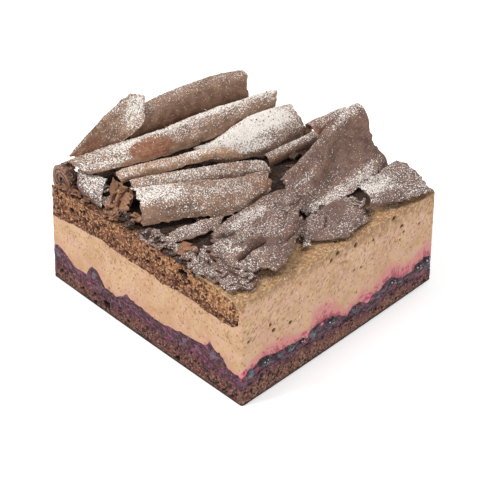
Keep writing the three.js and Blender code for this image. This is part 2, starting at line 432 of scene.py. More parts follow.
class Bench:
    """One material while it is put together."""

    def __init__(self, name: str) -> None:
        """Starts an empty material."""
        self.material = bpy.data.materials.new(name)
        self.material.use_nodes = True
        self.tree = self.material.node_tree
        self.tree.nodes.clear()

    def node(self, kind: str, settings: dict[str, object], inputs: dict[object, object]) -> bpy.types.Node:
        """Adds any node.

        Args:
            kind: the node's type.
            settings: its properties, set first.
            inputs: a value, a #rrggbb code or a link for each socket, by name or number.

        Returns:
            The node.
        """
        made = self.tree.nodes.new(kind)
        for key, value in settings.items():
            setattr(made, key, value)
        for key, value in inputs.items():
            if isinstance(value, Value):
                value = value.socket
            if isinstance(value, bpy.types.NodeSocket):
                self.tree.links.new(value, made.inputs[key])
            else:
                made.inputs[key].default_value = linear(value) if isinstance(value, str) else value
        return made

    def place(self) -> bpy.types.NodeSocket:
        """Where a point is on the object."""
        return self.node("ShaderNodeTexCoord", {}, {}).outputs["Object"]

    def sheet_place(self, stretch: Triple) -> bpy.types.NodeSocket:
        """Where a point is on its sheet, stretched."""
        uv = self.node("ShaderNodeTexCoord", {}, {}).outputs["UV"]
        return self.node("ShaderNodeMapping", {}, {"Vector": uv, "Scale": stretch}).outputs[0]

    def noise(self, where: bpy.types.NodeSocket, size: float, detail: float = 3, rough: float = 0.5) -> Value:
        """Soft noise with lumps of a size in millimetres."""
        inputs = {"Vector": where, "Scale": 1 / (size * MM), "Detail": detail, "Roughness": rough}
        return Value(self, self.node("ShaderNodeTexNoise", {}, inputs).outputs[0])

    def dots(self, where: bpy.types.NodeSocket, size: float) -> Value:
        """The distance to the nearest of many scattered dots, in units of their mean distance."""
        inputs = {"Vector": where, "Scale": 1 / (size * MM)}
        return Value(self, self.node("ShaderNodeTexVoronoi", {}, inputs).outputs["Distance"])

    def mark(self, name: str) -> Value:
        """A number stored at the corners of the mesh."""
        return Value(self, self.node("ShaderNodeAttribute", {"attribute_name": name}, {}).outputs["Fac"])

    def mix(self, factor: "Value | float", first: object, second: object) -> bpy.types.NodeSocket:
        """A blend of two colours."""
        return self.node("ShaderNodeMix", {"data_type": "RGBA"}, {0: factor, 6: first, 7: second}).outputs[2]

    def bump(self, height: Value, depth: float, strength: float) -> bpy.types.NodeSocket:
        """A fine relief whose full height is a depth in millimetres."""
        inputs = {"Height": height, "Distance": depth * MM, "Strength": strength}
        return self.node("ShaderNodeBump", {}, inputs).outputs[0]

    def finish(self, inputs: dict[object, object]) -> bpy.types.Material:
        """Closes the material with one surface shader over these inputs."""
        shader = self.node("ShaderNodeBsdfPrincipled", {}, inputs)
        self.node("ShaderNodeOutputMaterial", {}, {"Surface": shader.outputs[0]})
        return self.material


@dataclass(frozen=True)
class SpongeFinish:
    """Porous dark crumb, darker low down and soaked where it meets the jelly, with painted shade in its pits, along
    its lowest edge and under the heap.
    """

    name: str
    crumb: Colour
    low_crumb: Colour
    light: Colour
    deep: Colour
    soak: Colour
    cocoa: Colour

    def make(self) -> bpy.types.Material:
        """The material."""
        bench = Bench(self.name)
        where = bench.place()
        patches = bench.noise(where, 5, 3)
        rise = bench.mark("rise")
        body = bench.mix((rise + patches * 0.8).step(0.55, 1.2), self.low_crumb, self.crumb)
        grit = bench.noise(where, 0.7, 4, 0.7)
        body = bench.mix((grit + rise * 0.04).step(0.52, 0.64), body, self.light)
        wet = bench.mark("soak") * bench.noise(where, 2.4, 3).step(0.3, 0.6) * 0.8
        body = bench.mix(wet, body, self.soak)
        dense = bench.noise(where, 2.6, 3).step(0.36, 0.6) * 0.6 + 0.45 - rise * 0.2
        pores = bench.noise(where, 1.4, 4, 0.75) - dense * 0.11
        body = bench.mix(pores.step(0.29, 0.42, 1, 0), body, self.deep)
        body = bench.mix(bench.dots(where, 1.3).step(0.12, 0.3, 1, 0) * 0.9, body, self.deep)
        # painted shade: the top under the heap and the lowest edge darkened to cocoa brown, with a little real
        # cocoa on the top
        body = bench.mix(bench.mark("cocoa") * grit.step(0.2, 0.6, 1, 0.88), body, self.cocoa)
        # painted shade deep in the carved pits
        body = bench.mix(bench.mark("pit").step(0.1, 0.6), body, self.deep)
        relief = bench.bump(grit, 0.35, 0.9)
        return bench.finish({"Base Color": body, "Roughness": 0.9, "Normal": relief})


@dataclass(frozen=True)
class MousseFinish:
    """Set cream with fine pores, stained by the berries below and browned at the outer rim, with painted shade in
    its pits and on its top under the heap.
    """

    cream: Colour
    rose: Colour
    shade: Colour
    pore: Colour
    fleck: Colour
    glint: Colour
    rim: Colour
    rim_light: Colour
    stain: Colour
    deep_stain: Colour
    cocoa: Colour

    def make(self) -> bpy.types.Material:
        """The material."""
        bench = Bench("mousse_finish")
        where = bench.place()
        body = bench.mix(bench.noise(where, 7, 3).step(0.38, 0.66), self.cream, self.shade)
        rosy = bench.noise(where, 4, 3) + bench.mark("outer") * 0.06
        body = bench.mix(rosy.step(0.5, 0.68) * 0.7, body, self.rose)
        golden = bench.mix(bench.noise(where, 0.9, 4, 0.65).step(0.4, 0.62), self.rim, self.rim_light)
        browned = (bench.mark("rim") + bench.noise(where, 1.8, 4) * 0.7).step(0.55, 1.15)
        body = bench.mix(browned * 0.85, body, golden)
        crowd = bench.noise(where, 5, 3).step(0.36, 0.6) * 0.7 + bench.mark("fleck")
        slanted = bench.node(
            "ShaderNodeMapping", {"vector_type": "TEXTURE"},
            {"Vector": where, "Rotation": (math.radians(50), 0, 0), "Scale": (1, 1.6, 1)},
        ).outputs[0]
        dashes = bench.noise(slanted, 0.75, 3, 0.6)
        body = bench.mix((dashes - crowd * 0.06).step(0.31, 0.37, 1, 0) * 0.85, body, self.fleck)
        body = bench.mix((dashes + crowd * 0.04).step(0.64, 0.72) * 0.5, body, self.glint)
        thin = bench.noise(where, 3, 2).step(0.42, 0.58)
        body = bench.mix(bench.dots(where, 1.7).step(0.1, 0.17, 1, 0) * thin * 0.85, body, self.pore)
        # painted shade in the carved pits
        body = bench.mix(bench.mark("pit").step(0.1, 0.6), body, self.pore)
        stain = bench.mark("stain")
        wisps = bench.noise(where, 1.6, 5, 0.7)
        body = bench.mix((stain + wisps).step(0.5, 1.1) * 0.9, body, self.stain)
        body = bench.mix((stain * 0.7 + wisps * 2).step(1.45, 1.7) * 0.9, body, self.deep_stain)
        grit = bench.noise(where, 0.8, 4, 0.6)
        # painted shade on the top under the heap, in cocoa brown
        body = bench.mix(bench.mark("cocoa") * grit.step(0.2, 0.6, 1, 0.8), body, self.cocoa)
        return bench.finish({
            "Base Color": body,
            "Roughness": 0.6,
            "Subsurface Weight": 0.12,
            "Subsurface Radius": (1, 0.6, 0.4),
            "Subsurface Scale": 0.0012,
            "Normal": bench.bump(grit, 0.2, 0.7),
        })


@dataclass(frozen=True)
class JellyFinish:
    """Jelly of crushed berries: plum with pink juice where it is cut, near black and wet on the outer face."""

    body: Colour
    skin: Colour
    brown: Colour
    juice: Colour
    dark: Colour
    wet_body: Colour
    wet_dark: Colour
    wet_juice: Colour

    def make(self) -> bpy.types.Material:
        """The material."""
        bench = Bench("jelly_finish")
        where = bench.place()
        drawn = bench.node("ShaderNodeMapping", {}, {"Vector": where, "Scale": (0.4, 0.4, 1.0)}).outputs[0]
        cut = bench.mix(bench.noise(drawn, 2.0, 4, 0.65).step(0.5, 0.6), self.body, self.skin)
        cut = bench.mix(bench.noise(where, 2.6, 4, 0.65).step(0.5, 0.6) * 0.8, cut, self.brown)
        cut = bench.mix(bench.noise(where, 1.0, 4, 0.7).step(0.48, 0.56), cut, self.dark)
        cut = bench.mix(bench.noise(drawn, 0.7, 4, 0.7).step(0.56, 0.62) * 0.8, cut, self.juice)
        wet = bench.mix(bench.noise(drawn, 1.1, 4, 0.7).step(0.44, 0.56), self.wet_dark, self.wet_body)
        wet = bench.mix(bench.noise(where, 2.2, 2).step(0.6, 0.68) * 0.9, wet, self.wet_juice)
        tone = bench.mix(bench.mark("outer"), cut, wet)
        relief = bench.bump(bench.noise(where, 0.8, 4, 0.65), 0.9, 1.0)
        rough = bench.mark("outer").step(0, 1, 0.5, 0.2)
        return bench.finish({"Base Color": tone, "Roughness": rough, "Specular IOR Level": 0.3, "Normal": relief})


@dataclass(frozen=True)
class BerryFinish:
    """Skin or cut flesh of a dark berry."""

    name: str
    flesh: Colour
    bloom: Colour
    dark: Colour
    roughness: float

    def make(self) -> bpy.types.Material:
        """The material."""
        bench = Bench(self.name)
        where = bench.place()
        tone = bench.mix(bench.noise(where, 1.3, 4, 0.6).step(0.42, 0.62), self.flesh, self.bloom)
        tone = bench.mix(bench.dots(where, 1.2).step(0.12, 0.34, 1, 0) * 0.8, tone, self.dark)
        relief = bench.bump(bench.noise(where, 0.9, 3, 0.6), 0.4, 0.7)
        return bench.finish({"Base Color": tone, "Roughness": self.roughness, "Normal": relief})


@dataclass(frozen=True)
class ChocolateFinish:
    """Matt shaved chocolate, tan to grey, with icing sugar on what looks up and painted shade in its creases."""

    name: str
    dark: Colour
    body: Colour
    cool_dark: Colour
    cool_body: Colour
    pale_dark: Colour
    pale: Colour
    warm_dark: Colour
    warm: Colour
    deep: Colour
    film: Colour
    sugar: Colour

    def make(self) -> bpy.types.Material:
        """The material."""
        bench = Bench(self.name)
        where = bench.place()
        scrape = bench.noise(bench.sheet_place((0.15, 1, 1)), 0.5, 4, 0.6)
        edge = bench.noise(where, 1.4, 5, 0.7)
        tone = (scrape * 0.35 + bench.noise(where, 3, 5, 0.65) * 0.65).step(0.33, 0.67)
        tan = bench.mix(tone, self.dark, self.body)
        cool = bench.mix(tone, self.cool_dark, self.cool_body)
        body = bench.mix(bench.mark("grey"), tan, cool)
        body = bench.mix(bench.mark("pale"), body, bench.mix(tone, self.pale_dark, self.pale))
        warm = bench.mix((scrape * 0.5 + edge * 0.5).step(0.4, 0.6), self.warm_dark, self.warm)
        body = bench.mix((bench.mark("bare") + edge * 0.9).step(0.7, 1.2) * 0.9, body, warm)
        dust = bench.mark("dust")
        mottle = bench.noise(where, 0.5, 3, 0.7)
        body = bench.mix(mottle.step(0.34, 0.5, 1, 0) * (dust * 0.5 + 0.25), body, self.deep)
        haze = bench.noise(where, 1.8, 4, 0.6).step(0.35, 0.65)
        body = bench.mix(dust * haze * 0.28, body, self.film)
        # painted shade: pressed grooves and the inner winds of the roll darkened
        body = bench.mix(bench.mark("crack") * 0.95, body, self.deep)
        speck = bench.noise(where, 0.42, 2, 0.6)
        body = bench.mix((speck + dust * 0.24).step(0.67, 0.74), body, self.sugar)
        relief = bench.bump(scrape * 0.6 + mottle * 0.9, 0.2, 0.8)
        return bench.finish({"Base Color": body, "Roughness": 0.6, "Normal": relief})


@dataclass(frozen=True)
class PlainFinish:
    """One tone with a little noise in it, for grains, crumbs and the floor."""

    name: str
    light: Colour
    shade: Colour
    size: float
    roughness: float
    glow: float = 0.0

    def make(self) -> bpy.types.Material:
        """The material."""
        bench = Bench(self.name)
        tone = bench.mix(bench.noise(bench.place(), self.size).step(0.35, 0.65), self.light, self.shade)
        return bench.finish({
            "Base Color": tone,
            "Roughness": self.roughness,
            "Emission Color": (1, 1, 1, 1),
            "Emission Strength": self.glow,
        })


# ---------------------------------------------------------------- the cake


@dataclass(frozen=True)
class Outline:
    """A height that follows its own line along each side of the slice, as (place, height) pairs."""

    front: Sequence[Pair]
    right: Sequence[Pair]
    back: Sequence[Pair]
    left: Sequence[Pair]

    def at(self, x: Points, y: Points) -> Points:
        """The height over the plan; near a side it is that side's line."""
        half = Cake.HALF
        sides = (
            (self.front, x, y + half),
            (self.right, y, half - x),
            (self.back, x, half - y),
            (self.left, y, x + half),
        )
        total = np.zeros(len(x))
        weight = np.zeros(len(x))
        for line, place, depth in sides:
            pull = 1 / (np.maximum(depth, 0) + 0.5) ** 3
            total += pull * np.interp(place, [p for p, _ in line], [h for _, h in line])
            weight += pull
        return total / weight


class Cake:
    """Sizes that every layer shares, and the shapes of the surfaces between them."""

    HALF = 40.0
    HEIGHT = 33.0
    FLARE = 1.15
    CORNER = 0.9
    SEAM = 0.03
    SLAB_END = 38.4
    SLAB_WEAR = 1.2
    # outline of the heap on the top; the top inside it is darkened as painted shade
    HEAP = (
        (-37, -33), (-28, -36), (-8, -37.5), (6, -37), (12, -36), (30, -33), (31, -27), (28, -20),
        (27, -8), (30, -4), (33, 8), (31, 16), (36, 30), (37, 38), (-30, 38), (-36, -10),
    )

    JELLY_BOTTOM = Outline(
        front=((-40, 6.4), (-37.7, 6.7), (-25, 5.9), (-11.8, 4.8), (-2.8, 6.9), (3.7, 6.3), (10.1, 5.7),
               (16.3, 6.6), (24.4, 7.9), (27.3, 5.7), (32.4, 6.8), (40, 6)),
        right=((-40, 6.1), (-38.4, 6.5), (-34.9, 7.4), (-31.7, 8.2), (-25.1, 7.2), (-19.4, 6.6),
               (-11.3, 6.4), (-5.4, 6), (-0.5, 5.3), (4.4, 5.6), (12, 4.5), (17, 5.4), (21.5, 5.5),
               (28.3, 4.6), (34.5, 4), (40, 3.4)),
        back=((-40, 6), (-28, 5.2), (-15, 6.6), (-2, 5.4), (12, 6.2), (26, 4.6), (40, 3.4)),
        left=((-40, 6.4), (-27, 5.6), (-12, 6.9), (3, 5.8), (18, 6.4), (30, 5.2), (40, 6)),
    )
    JELLY_TOP = Outline(
        front=((-40, 10.4), (-38.6, 12.4), (-37, 12.8), (-34.4, 11.7), (-31.6, 9.8), (-29.3, 8.8),
               (-24.1, 9), (-23, 11.4), (-21.4, 13.3), (-19.2, 13.1), (-17.5, 11.1), (-15.7, 8.8),
               (-10.3, 8.5), (-6.2, 11.5), (-4.5, 10.7), (0.3, 10.5), (4.6, 9.7), (10.1, 10), (17.1, 11.3),
               (22.4, 11.7), (26.3, 12.6), (27.6, 14.8), (29.9, 12.9), (33, 12.1), (34.6, 9.9), (38.4, 9.4),
               (40, 8.4)),
        right=((-40, 8.6), (-38.7, 11), (-36.3, 11.1), (-34.2, 12), (-32.9, 12.6), (-30.2, 12.1), (-28, 11),
               (-23, 10.7), (-18.5, 10.1), (-15, 9), (-13.4, 11), (-10.5, 11.2), (-7.6, 11.5), (-4.6, 10.4),
               (1.2, 7.6), (3.4, 9.2), (7.1, 9.3), (9.8, 7.2), (12.2, 8.5), (15.3, 8.9), (18.3, 10.5),
               (20.9, 10.7), (25.2, 7.8), (30.5, 7.6), (33, 9.2), (36.3, 9.9), (40, 8.6)),
        back=((-40, 9), (-36, 11.4), (-31, 12.4), (-26, 9.4), (-18, 9.2), (-14, 12.2), (-9, 11.4),
              (-4, 8.8), (5, 9.6), (12, 11.6), (17, 9.2), (24, 8.8), (29, 10.8), (34, 10.6), (40, 8.6)),
        left=((-40, 10.4), (-36, 11.9), (-32, 9.4), (-24, 9), (-19, 12.2), (-13, 12.4), (-8, 9.2), (1, 9.4),
              (6, 12.6), (11, 11.2), (16, 8.9), (25, 9.2), (30, 12), (35, 11), (40, 9)),
    )
    SPONGE_BOTTOM = Outline(
        front=((-40, 22.9), (-36, 23), (-29.7, 24.1), (-22, 24.4), (-17.2, 25.2), (-10.2, 24.4),
               (0.6, 24.6), (8, 24), (16.2, 24.5), (22, 24.6), (28.7, 23.8), (35.9, 24.3), (40, 24.6)),
        right=((-40, 24.4), (40, 24.4)),
        back=((-40, 24.6), (-26, 24), (-10, 25), (8, 24.2), (24, 24.8), (40, 24.2)),
        left=((-40, 22.9), (-30, 23.8), (-14, 24.8), (2, 24), (18, 24.8), (30, 24), (40, 24.6)),
    )

    @staticmethod
    def top(x: Points, y: Points) -> Points:
        """Height of the finished top."""
        s = (x + Cake.HALF) / (2 * Cake.HALF)
        t = (y + Cake.HALF) / (2 * Cake.HALF)
        return Cake.HEIGHT + 1.4 * s - 0.5 * t - 2.15 * s * t

    @staticmethod
    def sponge_top(x: Points, y: Points) -> Points:
        """Height of the upper sponge, which sinks under a skin of mousse towards +X."""
        return Cake.top(x, y) - 0.8 * smoothstep(x, 20, 27) - 1.2 * smoothstep(x, 27, 37)

    @staticmethod
    def ragged(x: Points, y: Points, size: float, depth: float, seed: int) -> Points:
        """A small random rise or fall over the plan."""
        return depth * Grain.layered(np.stack([x, y, np.full(len(x), seed * 5.0)], axis=1), size, SEED + seed)

    @staticmethod
    def jelly_bottom(x: Points, y: Points) -> Points:
        """Height of the boundary between the lower sponge and the jelly."""
        return Cake.JELLY_BOTTOM.at(x, y) + Cake.ragged(x, y, 1.5, 0.35, 21)

    @staticmethod
    def jelly_top(x: Points, y: Points) -> Points:
        """Height of the boundary between the jelly and the mousse."""
        return Cake.JELLY_TOP.at(x, y) + Cake.ragged(x, y, 1.6, 0.45, 22)

    @staticmethod
    def sponge_bottom(x: Points, y: Points) -> Points:
        """Height of the underside of the upper sponge."""
        return Cake.SPONGE_BOTTOM.at(x, y) + Cake.ragged(x, y, 1.8, 0.6, 23)

    @staticmethod
    def spread(points: Points) -> Points:
        """Leans the sides out towards the bottom, rounds the upright corners and swells the foot a little."""
        x, y, z = points.T
        inner = Cake.HALF - Cake.CORNER
        a = np.abs(x) - inner
        b = np.abs(y) - inner
        corner = (a > 0) & (b > 0)
        pull = np.where(corner, np.maximum(a, b) / np.maximum(np.hypot(a, b), 1e-9), 1)
        x = np.where(corner, np.sign(x) * (inner + a * pull), x)
        y = np.where(corner, np.sign(y) * (inner + b * pull), y)
        lean = 1 + Cake.FLARE / Cake.HALF * (1 - z / Cake.HEIGHT)
        low = np.exp(-((z / 9) ** 2))
        swell_x = 1 + 0.006 * low * (1 - (y / Cake.HALF) ** 2)
        swell_y = 1 + 0.006 * low * (1 - (x / Cake.HALF) ** 2)
        return np.stack([x * lean * swell_x, y * lean * swell_y, z], axis=1)

    @staticmethod
    def under_heap(points: Points) -> Points:
        """1 on the top where the shavings cover it, 0 outside them."""
        x, y, z = points.T
        corners = np.array(Cake.HEAP)
        inside = np.zeros(len(points), bool)
        away = np.full(len(points), 99.0)
        for start, end in zip(corners, np.roll(corners, -1, axis=0)):
            way = end - start
            part = np.clip(((x - start[0]) * way[0] + (y - start[1]) * way[1]) / (way @ way), 0, 1)
            away = np.minimum(away, np.hypot(x - start[0] - part * way[0], y - start[1] - part * way[1]))
            if start[1] != end[1]:
                crosses = (start[1] > y) != (end[1] > y)
                inside ^= crosses & (x < start[0] + (y - start[1]) * way[0] / way[1])
        signed = np.where(inside, away, -away) + 1.2 * Grain.layered(points, 2.5, SEED + 95)
        return smoothstep(signed, -0.4, 1.6) * smoothstep(z - Cake.top(x, y), -2.6, -1.6)


@dataclass
class Layer:
    """One layer: a slab between two heights, with fine faces where it shows."""

    name: str
    bottom: Field
    top: Field
    rows: int
    cuts: int
    columns: int = 66
    x0: float = -Cake.HALF
    x1: float = Cake.HALF
    fine_top: bool = False
    worn_end: float = 0.0

    FINE_STRIP = 8.0

    def shape(self) -> bpy.types.Object:
        """The plain layer, in millimetres."""
        piece = celled_box(self.name, (self.columns, self.columns, self.rows))
        if self.cuts:
            cut_faces(piece, lambda middle, normal: abs(normal.z) < 0.5, self.cuts)
        if self.fine_top:
            near = 0.5 - self.FINE_STRIP / (2 * Cake.HALF)
            cut_faces(piece, lambda m, n: n.z > 0.5 and max(abs(m.x), abs(m.y)) > near, 2)
        unit = read_points(piece)
        x = self.x0 + (unit[:, 0] + 0.5) * (self.x1 - self.x0)
        y = unit[:, 1] * 2 * Cake.HALF
        low, high = self.bottom(x, y), self.top(x, y)
        end = smoothstep(x, self.x1 - 2.5, self.x1) * (self.worn_end > 0)
        share = unit[:, 2] + end * 0.3 * (0.5 - unit[:, 2])
        z = low + share * (high - low)
        spots = np.stack([np.zeros(len(x)), y, z], axis=1)
        x = x + end * self.worn_end * Grain.layered(spots, 2.2, SEED + 24)
        write_points(piece, Cake.spread(np.stack([x, y, z], axis=1)))
        return piece

    @staticmethod
    def outside(points: Points) -> Points:
        """1 on the sides and the top of the slice, 0 inside it and along its lowest edge."""
        x, y, z = points.T
        lean = 1 + Cake.FLARE / Cake.HALF * (1 - z / Cake.HEIGHT)
        reach = np.maximum(np.abs(x), np.abs(y)) / lean
        side = smoothstep(reach, Cake.HALF - 1.6, Cake.HALF - 0.7)
        return np.maximum(side, smoothstep(z - Cake.top(x, y), -0.8, -0.3)) * smoothstep(z, 0.1, 0.9)


@dataclass
class Crumb:
    """Relief of a porous surface: pits of several sizes and a rough grain."""

    pits: Sequence[tuple[float, float, float, float]]
    grain: float
    grain_size: float
    holes: Sequence[tuple[float, float, float, float, float]] = ()

    def carve(self, piece: bpy.types.Object) -> None:
        """Carves the outside of a layer and marks how deep each corner lies.

        The pits are (spacing, smallest radius, largest radius, depth), and the holes single deeper ones,
        (x, y, z, radius, depth), all in millimetres.
        """
        points = read_points(piece)
        outside = Layer.outside(points)
        normals = read_normals(piece)
        depth = np.zeros(len(points))
        for number, (spacing, least, most, deep) in enumerate(self.pits):
            away, own = Grain.cells(points, spacing, SEED + 31 * number)
            bent = away * (1 + 0.35 * Grain.smooth(points, spacing / 3, SEED + 5 + number))
            radius = least + (most - least) * own**2
            here = deep * (0.5 + 0.5 * own) * (1 - smoothstep(bent / radius, 0.55, 1))
            depth = np.maximum(depth, here)
        for x, y, z, radius, deep in self.holes:
            away = np.linalg.norm((points - (x, y, z)) * (1, 1, 1.3), axis=1)
            away = away * (1 + 0.5 * Grain.layered(points, 1.1, SEED + 9))
            depth = np.maximum(depth, deep * (1 - smoothstep(away / radius, 0.5, 1)))
        lumps = self.grain * Grain.layered(points, self.grain_size, SEED + 3)
        write_points(piece, points + normals * (outside * (lumps - depth))[:, None])
        full = max(p[3] for p in self.pits)
        # the depth also darkens the pits in the finishes, as painted shade
        write_marks(piece, pit=outside * np.clip(depth / full, 0, 1))


@dataclass
class CakeBody:
    """The four layers."""

    base_crumb: Crumb = field(default_factory=lambda: Crumb(
        pits=((3.4, 0.3, 0.9, 0.8), (1.5, 0.25, 0.65, 0.6), (0.85, 0.15, 0.4, 0.35)),
        grain=0.26,
        grain_size=1.0,
        holes=((-15.6, -41, 3, 1.7, 1.6), (-5.6, -41, 2.4, 0.9, 1.1), (15.6, -41, 1.4, 1.0, 1.2)),
    ))
    top_crumb: Crumb = field(default_factory=lambda: Crumb(
        pits=((3.4, 0.3, 1.0, 1.0), (1.5, 0.25, 0.75, 0.75), (0.85, 0.15, 0.42, 0.4)),
        grain=0.34,
        grain_size=1.1,
        holes=((-30.7, -40.2, 28.8, 1.2, 1.5), (17, -40.2, 31.6, 1.8, 2.2), (19.5, -40.2, 29.8, 1.0, 1.2)),
    ))
    mousse_crumb: Crumb = field(default_factory=lambda: Crumb(
        pits=((6, 0.2, 0.8, 0.7), (2.8, 0.15, 0.5, 0.4)),
        grain=0.1,
        grain_size=1.6,
        holes=((40.5, -38.1, 20.6, 0.7, 0.6), (40.5, -28.7, 19.2, 0.9, 0.7), (40.5, -22.1, 18.2, 0.9, 0.7),
               (40.3, 24.6, 27.1, 0.9, 0.7), (40.3, 25.8, 24.5, 0.7, 0.6), (40.1, 20.9, 31.6, 0.9, 0.9),
               (40.2, -3.5, 31.6, 0.9, 0.8), (40.3, -6, 30.2, 0.7, 0.6), (40.3, 12, 28.5, 0.6, 0.5),
               (40.3, 33, 24, 0.7, 0.5), (40.4, 4, 22, 0.7, 0.5)),
    ))

    def build_base(self) -> bpy.types.Object:
        """The lower sponge, purple where the jelly soaks into it."""
        flat = lambda x, y: np.zeros(len(x))
        piece = Layer("base_crumb", flat, Cake.jelly_bottom, 5, 4).shape()
        self.base_crumb.carve(piece)
        points = read_points(piece)
        points[:, 2] = np.maximum(points[:, 2], 0)
        write_points(piece, points)
        x, y, z = points.T
        write_marks(
            piece,
            soak=1 - smoothstep(Cake.JELLY_BOTTOM.at(x, y) - z, 0.4, 3.8),
            rise=0.5 * smoothstep(x, 38, 40.5),
            # painted contact shadow along the lowest edge
            cocoa=0.95 * (1 - smoothstep(z, 0.25, 1.1)),
        )
        to_metres(piece)
        return piece

    def build_jelly(self) -> bpy.types.Object:
        """The berry jelly, lumpy where it is cut."""
        piece = Layer("jelly_bed", Cake.jelly_bottom, Cake.jelly_top, 4, 4).shape()
        points = read_points(piece)
        outside = Layer.outside(points)
        outer = smoothstep(points[:, 0], 39.2, 40.4)
        lumps = 0.16 * Grain.layered(points, 2.2, SEED + 40)
        lumps += 0.12 * np.abs(Grain.smooth(points, 0.9, SEED + 44))
        lumps += outer * 0.3 * Grain.smooth(points, 2.6, SEED + 47)
        write_points(piece, points + read_normals(piece) * (outside * lumps)[:, None])
        write_marks(piece, outer=outer)
        to_metres(piece)
        return piece

    def build_mousse(self) -> bpy.types.Object:
        """The mousse, with a slot through it for the upper sponge."""
        seat = lambda x, y: Cake.jelly_top(x, y) + Cake.SEAM
        piece = Layer("mousse_block", seat, Cake.top, 20, 2, fine_top=True).shape()
        low = lambda x, y: Cake.sponge_bottom(x, y) - Cake.SEAM
        high = lambda x, y: np.where(x < 22, Cake.top(x, y) + 1, Cake.sponge_top(x, y) + Cake.SEAM)
        cutter = Layer("slot", low, high, 16, 0, columns=130, x0=-Cake.HALF - 3, x1=Cake.SLAB_END,
                       worn_end=Cake.SLAB_WEAR).shape()
        grown = read_points(cutter)
        grown[:, 1] *= 1.03
        write_points(cutter, grown)
        apply_modifier(piece, "BOOLEAN", {"object": cutter, "operation": "DIFFERENCE", "solver": "MANIFOLD"})
        bpy.data.objects.remove(cutter)
        self.mousse_crumb.carve(piece)
        self.mark_mousse(piece)
        to_metres(piece)
        return piece

    def mark_mousse(self, piece: bpy.types.Object) -> None:
        """Marks the berry stain, the browned rim of the outer face and the painted shade on the top under the heap.
        """
        points = read_points(piece)
        x, y, z = points.T
        above = z - Cake.JELLY_TOP.at(x, y)
        outer = smoothstep(x, 37.5, 39.6)
        bands = ((-30, 6, 0.5), (-8, 8, 0.9), (10, 4, 0.4), (25, 8, 1.0), (38, 4, 0.9))
        strong = sum(share * np.exp(-(((y - place) / wide) ** 2)) for place, wide, share in bands)
        reach = 2.4 + 3 * np.clip(strong, 0, 1.2) + 1.4 * Grain.smooth(points, 4, SEED + 61)
        stain = np.exp(-((np.maximum(above, 0) / np.maximum(reach, 0.6)) ** 2))
        under = Cake.top(x, y) - z
        rim = np.exp(-((np.maximum(under, 0) / (2.6 + 0.03 * (y + 40))) ** 1.6)) * smoothstep(x, 33, 39.5)
        rim = np.maximum(rim, smoothstep(under, 4.5, 2) * smoothstep(-y, 38, 39.4))
        upper = smoothstep(read_normals(piece)[:, 2], 0.5, 0.9) * smoothstep(under, 1.2, 0.6)
        high = smoothstep(z, 13, 22) * (0.85 + 0.15 * outer)
        # painted shade where the heap covers the top
        heap_shade = Cake.under_heap(points) * smoothstep(under, 1.2, 0.6)
        cloudy = smoothstep(Grain.layered(points, 6, SEED + 96), -0.4, 0.5)
        write_marks(
            piece,
            stain=stain * (0.3 + 0.7 * outer) * (0.75 + 0.25 * np.clip(strong, 0, 1)),
            rim=np.maximum(rim, 0.7 * upper),
            fleck=0.2 + 0.6 * high + 0.5 * rim,
            outer=outer,
            cocoa=heap_shade,
            dust=0.45 * upper * (1 - heap_shade) * cloudy,
        )

    def build_sponge(self) -> bpy.types.Object:
        """The upper sponge."""
        piece = Layer(
            "top_crumb", Cake.sponge_bottom, Cake.sponge_top, 8, 3, x1=Cake.SLAB_END, fine_top=True,
            worn_end=Cake.SLAB_WEAR,
        ).shape()
        self.top_crumb.carve(piece)
        points = read_points(piece)
        x, y, z = points.T
        upper = smoothstep(read_normals(piece)[:, 2], 0.3, 0.8)
        # painted shade where the heap covers the top
        heap_shade = Cake.under_heap(points)
        rise = (0.2 + 0.8 * smoothstep(z, 25, 32)) * (0.5 + 0.6 * smoothstep(x, -2, 36))
        rise *= 1 - 0.3 * upper
        dust = 0.25 * upper * (1 - heap_shade) * smoothstep(x, -30, 5)
        # painted shade under the heap, plus a little real cocoa on the upper faces
        write_marks(piece, soak=0, rise=rise, cocoa=np.maximum(heap_shade, 0.25 * upper), dust=dust)
        to_metres(piece)
        return piece

    def build(self) -> list[bpy.types.Object]:
        """Makes and dresses the four layers.

        Returns:
            The layers that sugar can lie on.
        """
        base = SpongeFinish(
            "base_sponge_finish", crumb="#805746", low_crumb="#6c4036", light="#a57f6e",
            deep="#241210", soak="#5f3448", cocoa="#1e1310",
        )
        upper = SpongeFinish(
            "top_sponge_finish", crumb="#9a6843", low_crumb="#70402a", light="#cb9f74",
            deep="#38180c", soak="#5c3048", cocoa="#1a0f0a",
        )
        mousse = MousseFinish(
            cream="#c8a37e", rose="#c79c89", shade="#bb926a", pore="#643e28",
            fleck="#94693a", glint="#e2c39c", rim="#82603e", rim_light="#bb966a",
            stain="#c87f7b", deep_stain="#9c3a50", cocoa="#1a0f0a",
        )
        jelly = JellyFinish(
            body="#552b3c", skin="#7d5769", brown="#61382c", juice="#ac4d7c",
            dark="#260f19", wet_body="#6a4658", wet_dark="#281219", wet_juice="#b53c56",
        )
        dress(self.build_base(), base.make(), ["base_sponge"])
        dress(self.build_jelly(), jelly.make(), ["berry_layer"])
        block = self.build_mousse()
        dress(block, mousse.make(), ["mousse"])
        slab = self.build_sponge()
        dress(slab, upper.make(), ["top_sponge"])
        return [block, slab]


# ---------------------------------------------------------------- berries


@dataclass(frozen=True)
class Berry:
    """A berry in the cut jelly: its side, place along it, height, half sizes and how proud it stands."""

    side: Side
    place: float
    height: float
    size: Triple
    proud: float
    turn: float = 0.0

    @classmethod
    def row(cls, side: Side, *rows: Sequence[float]) -> list["Berry"]:
        """Berries of one side, each (place, height, wide, deep, tall, proud, turn)."""
        return [cls(side, *row[:2], row[2:5], *row[5:]) for row in rows]


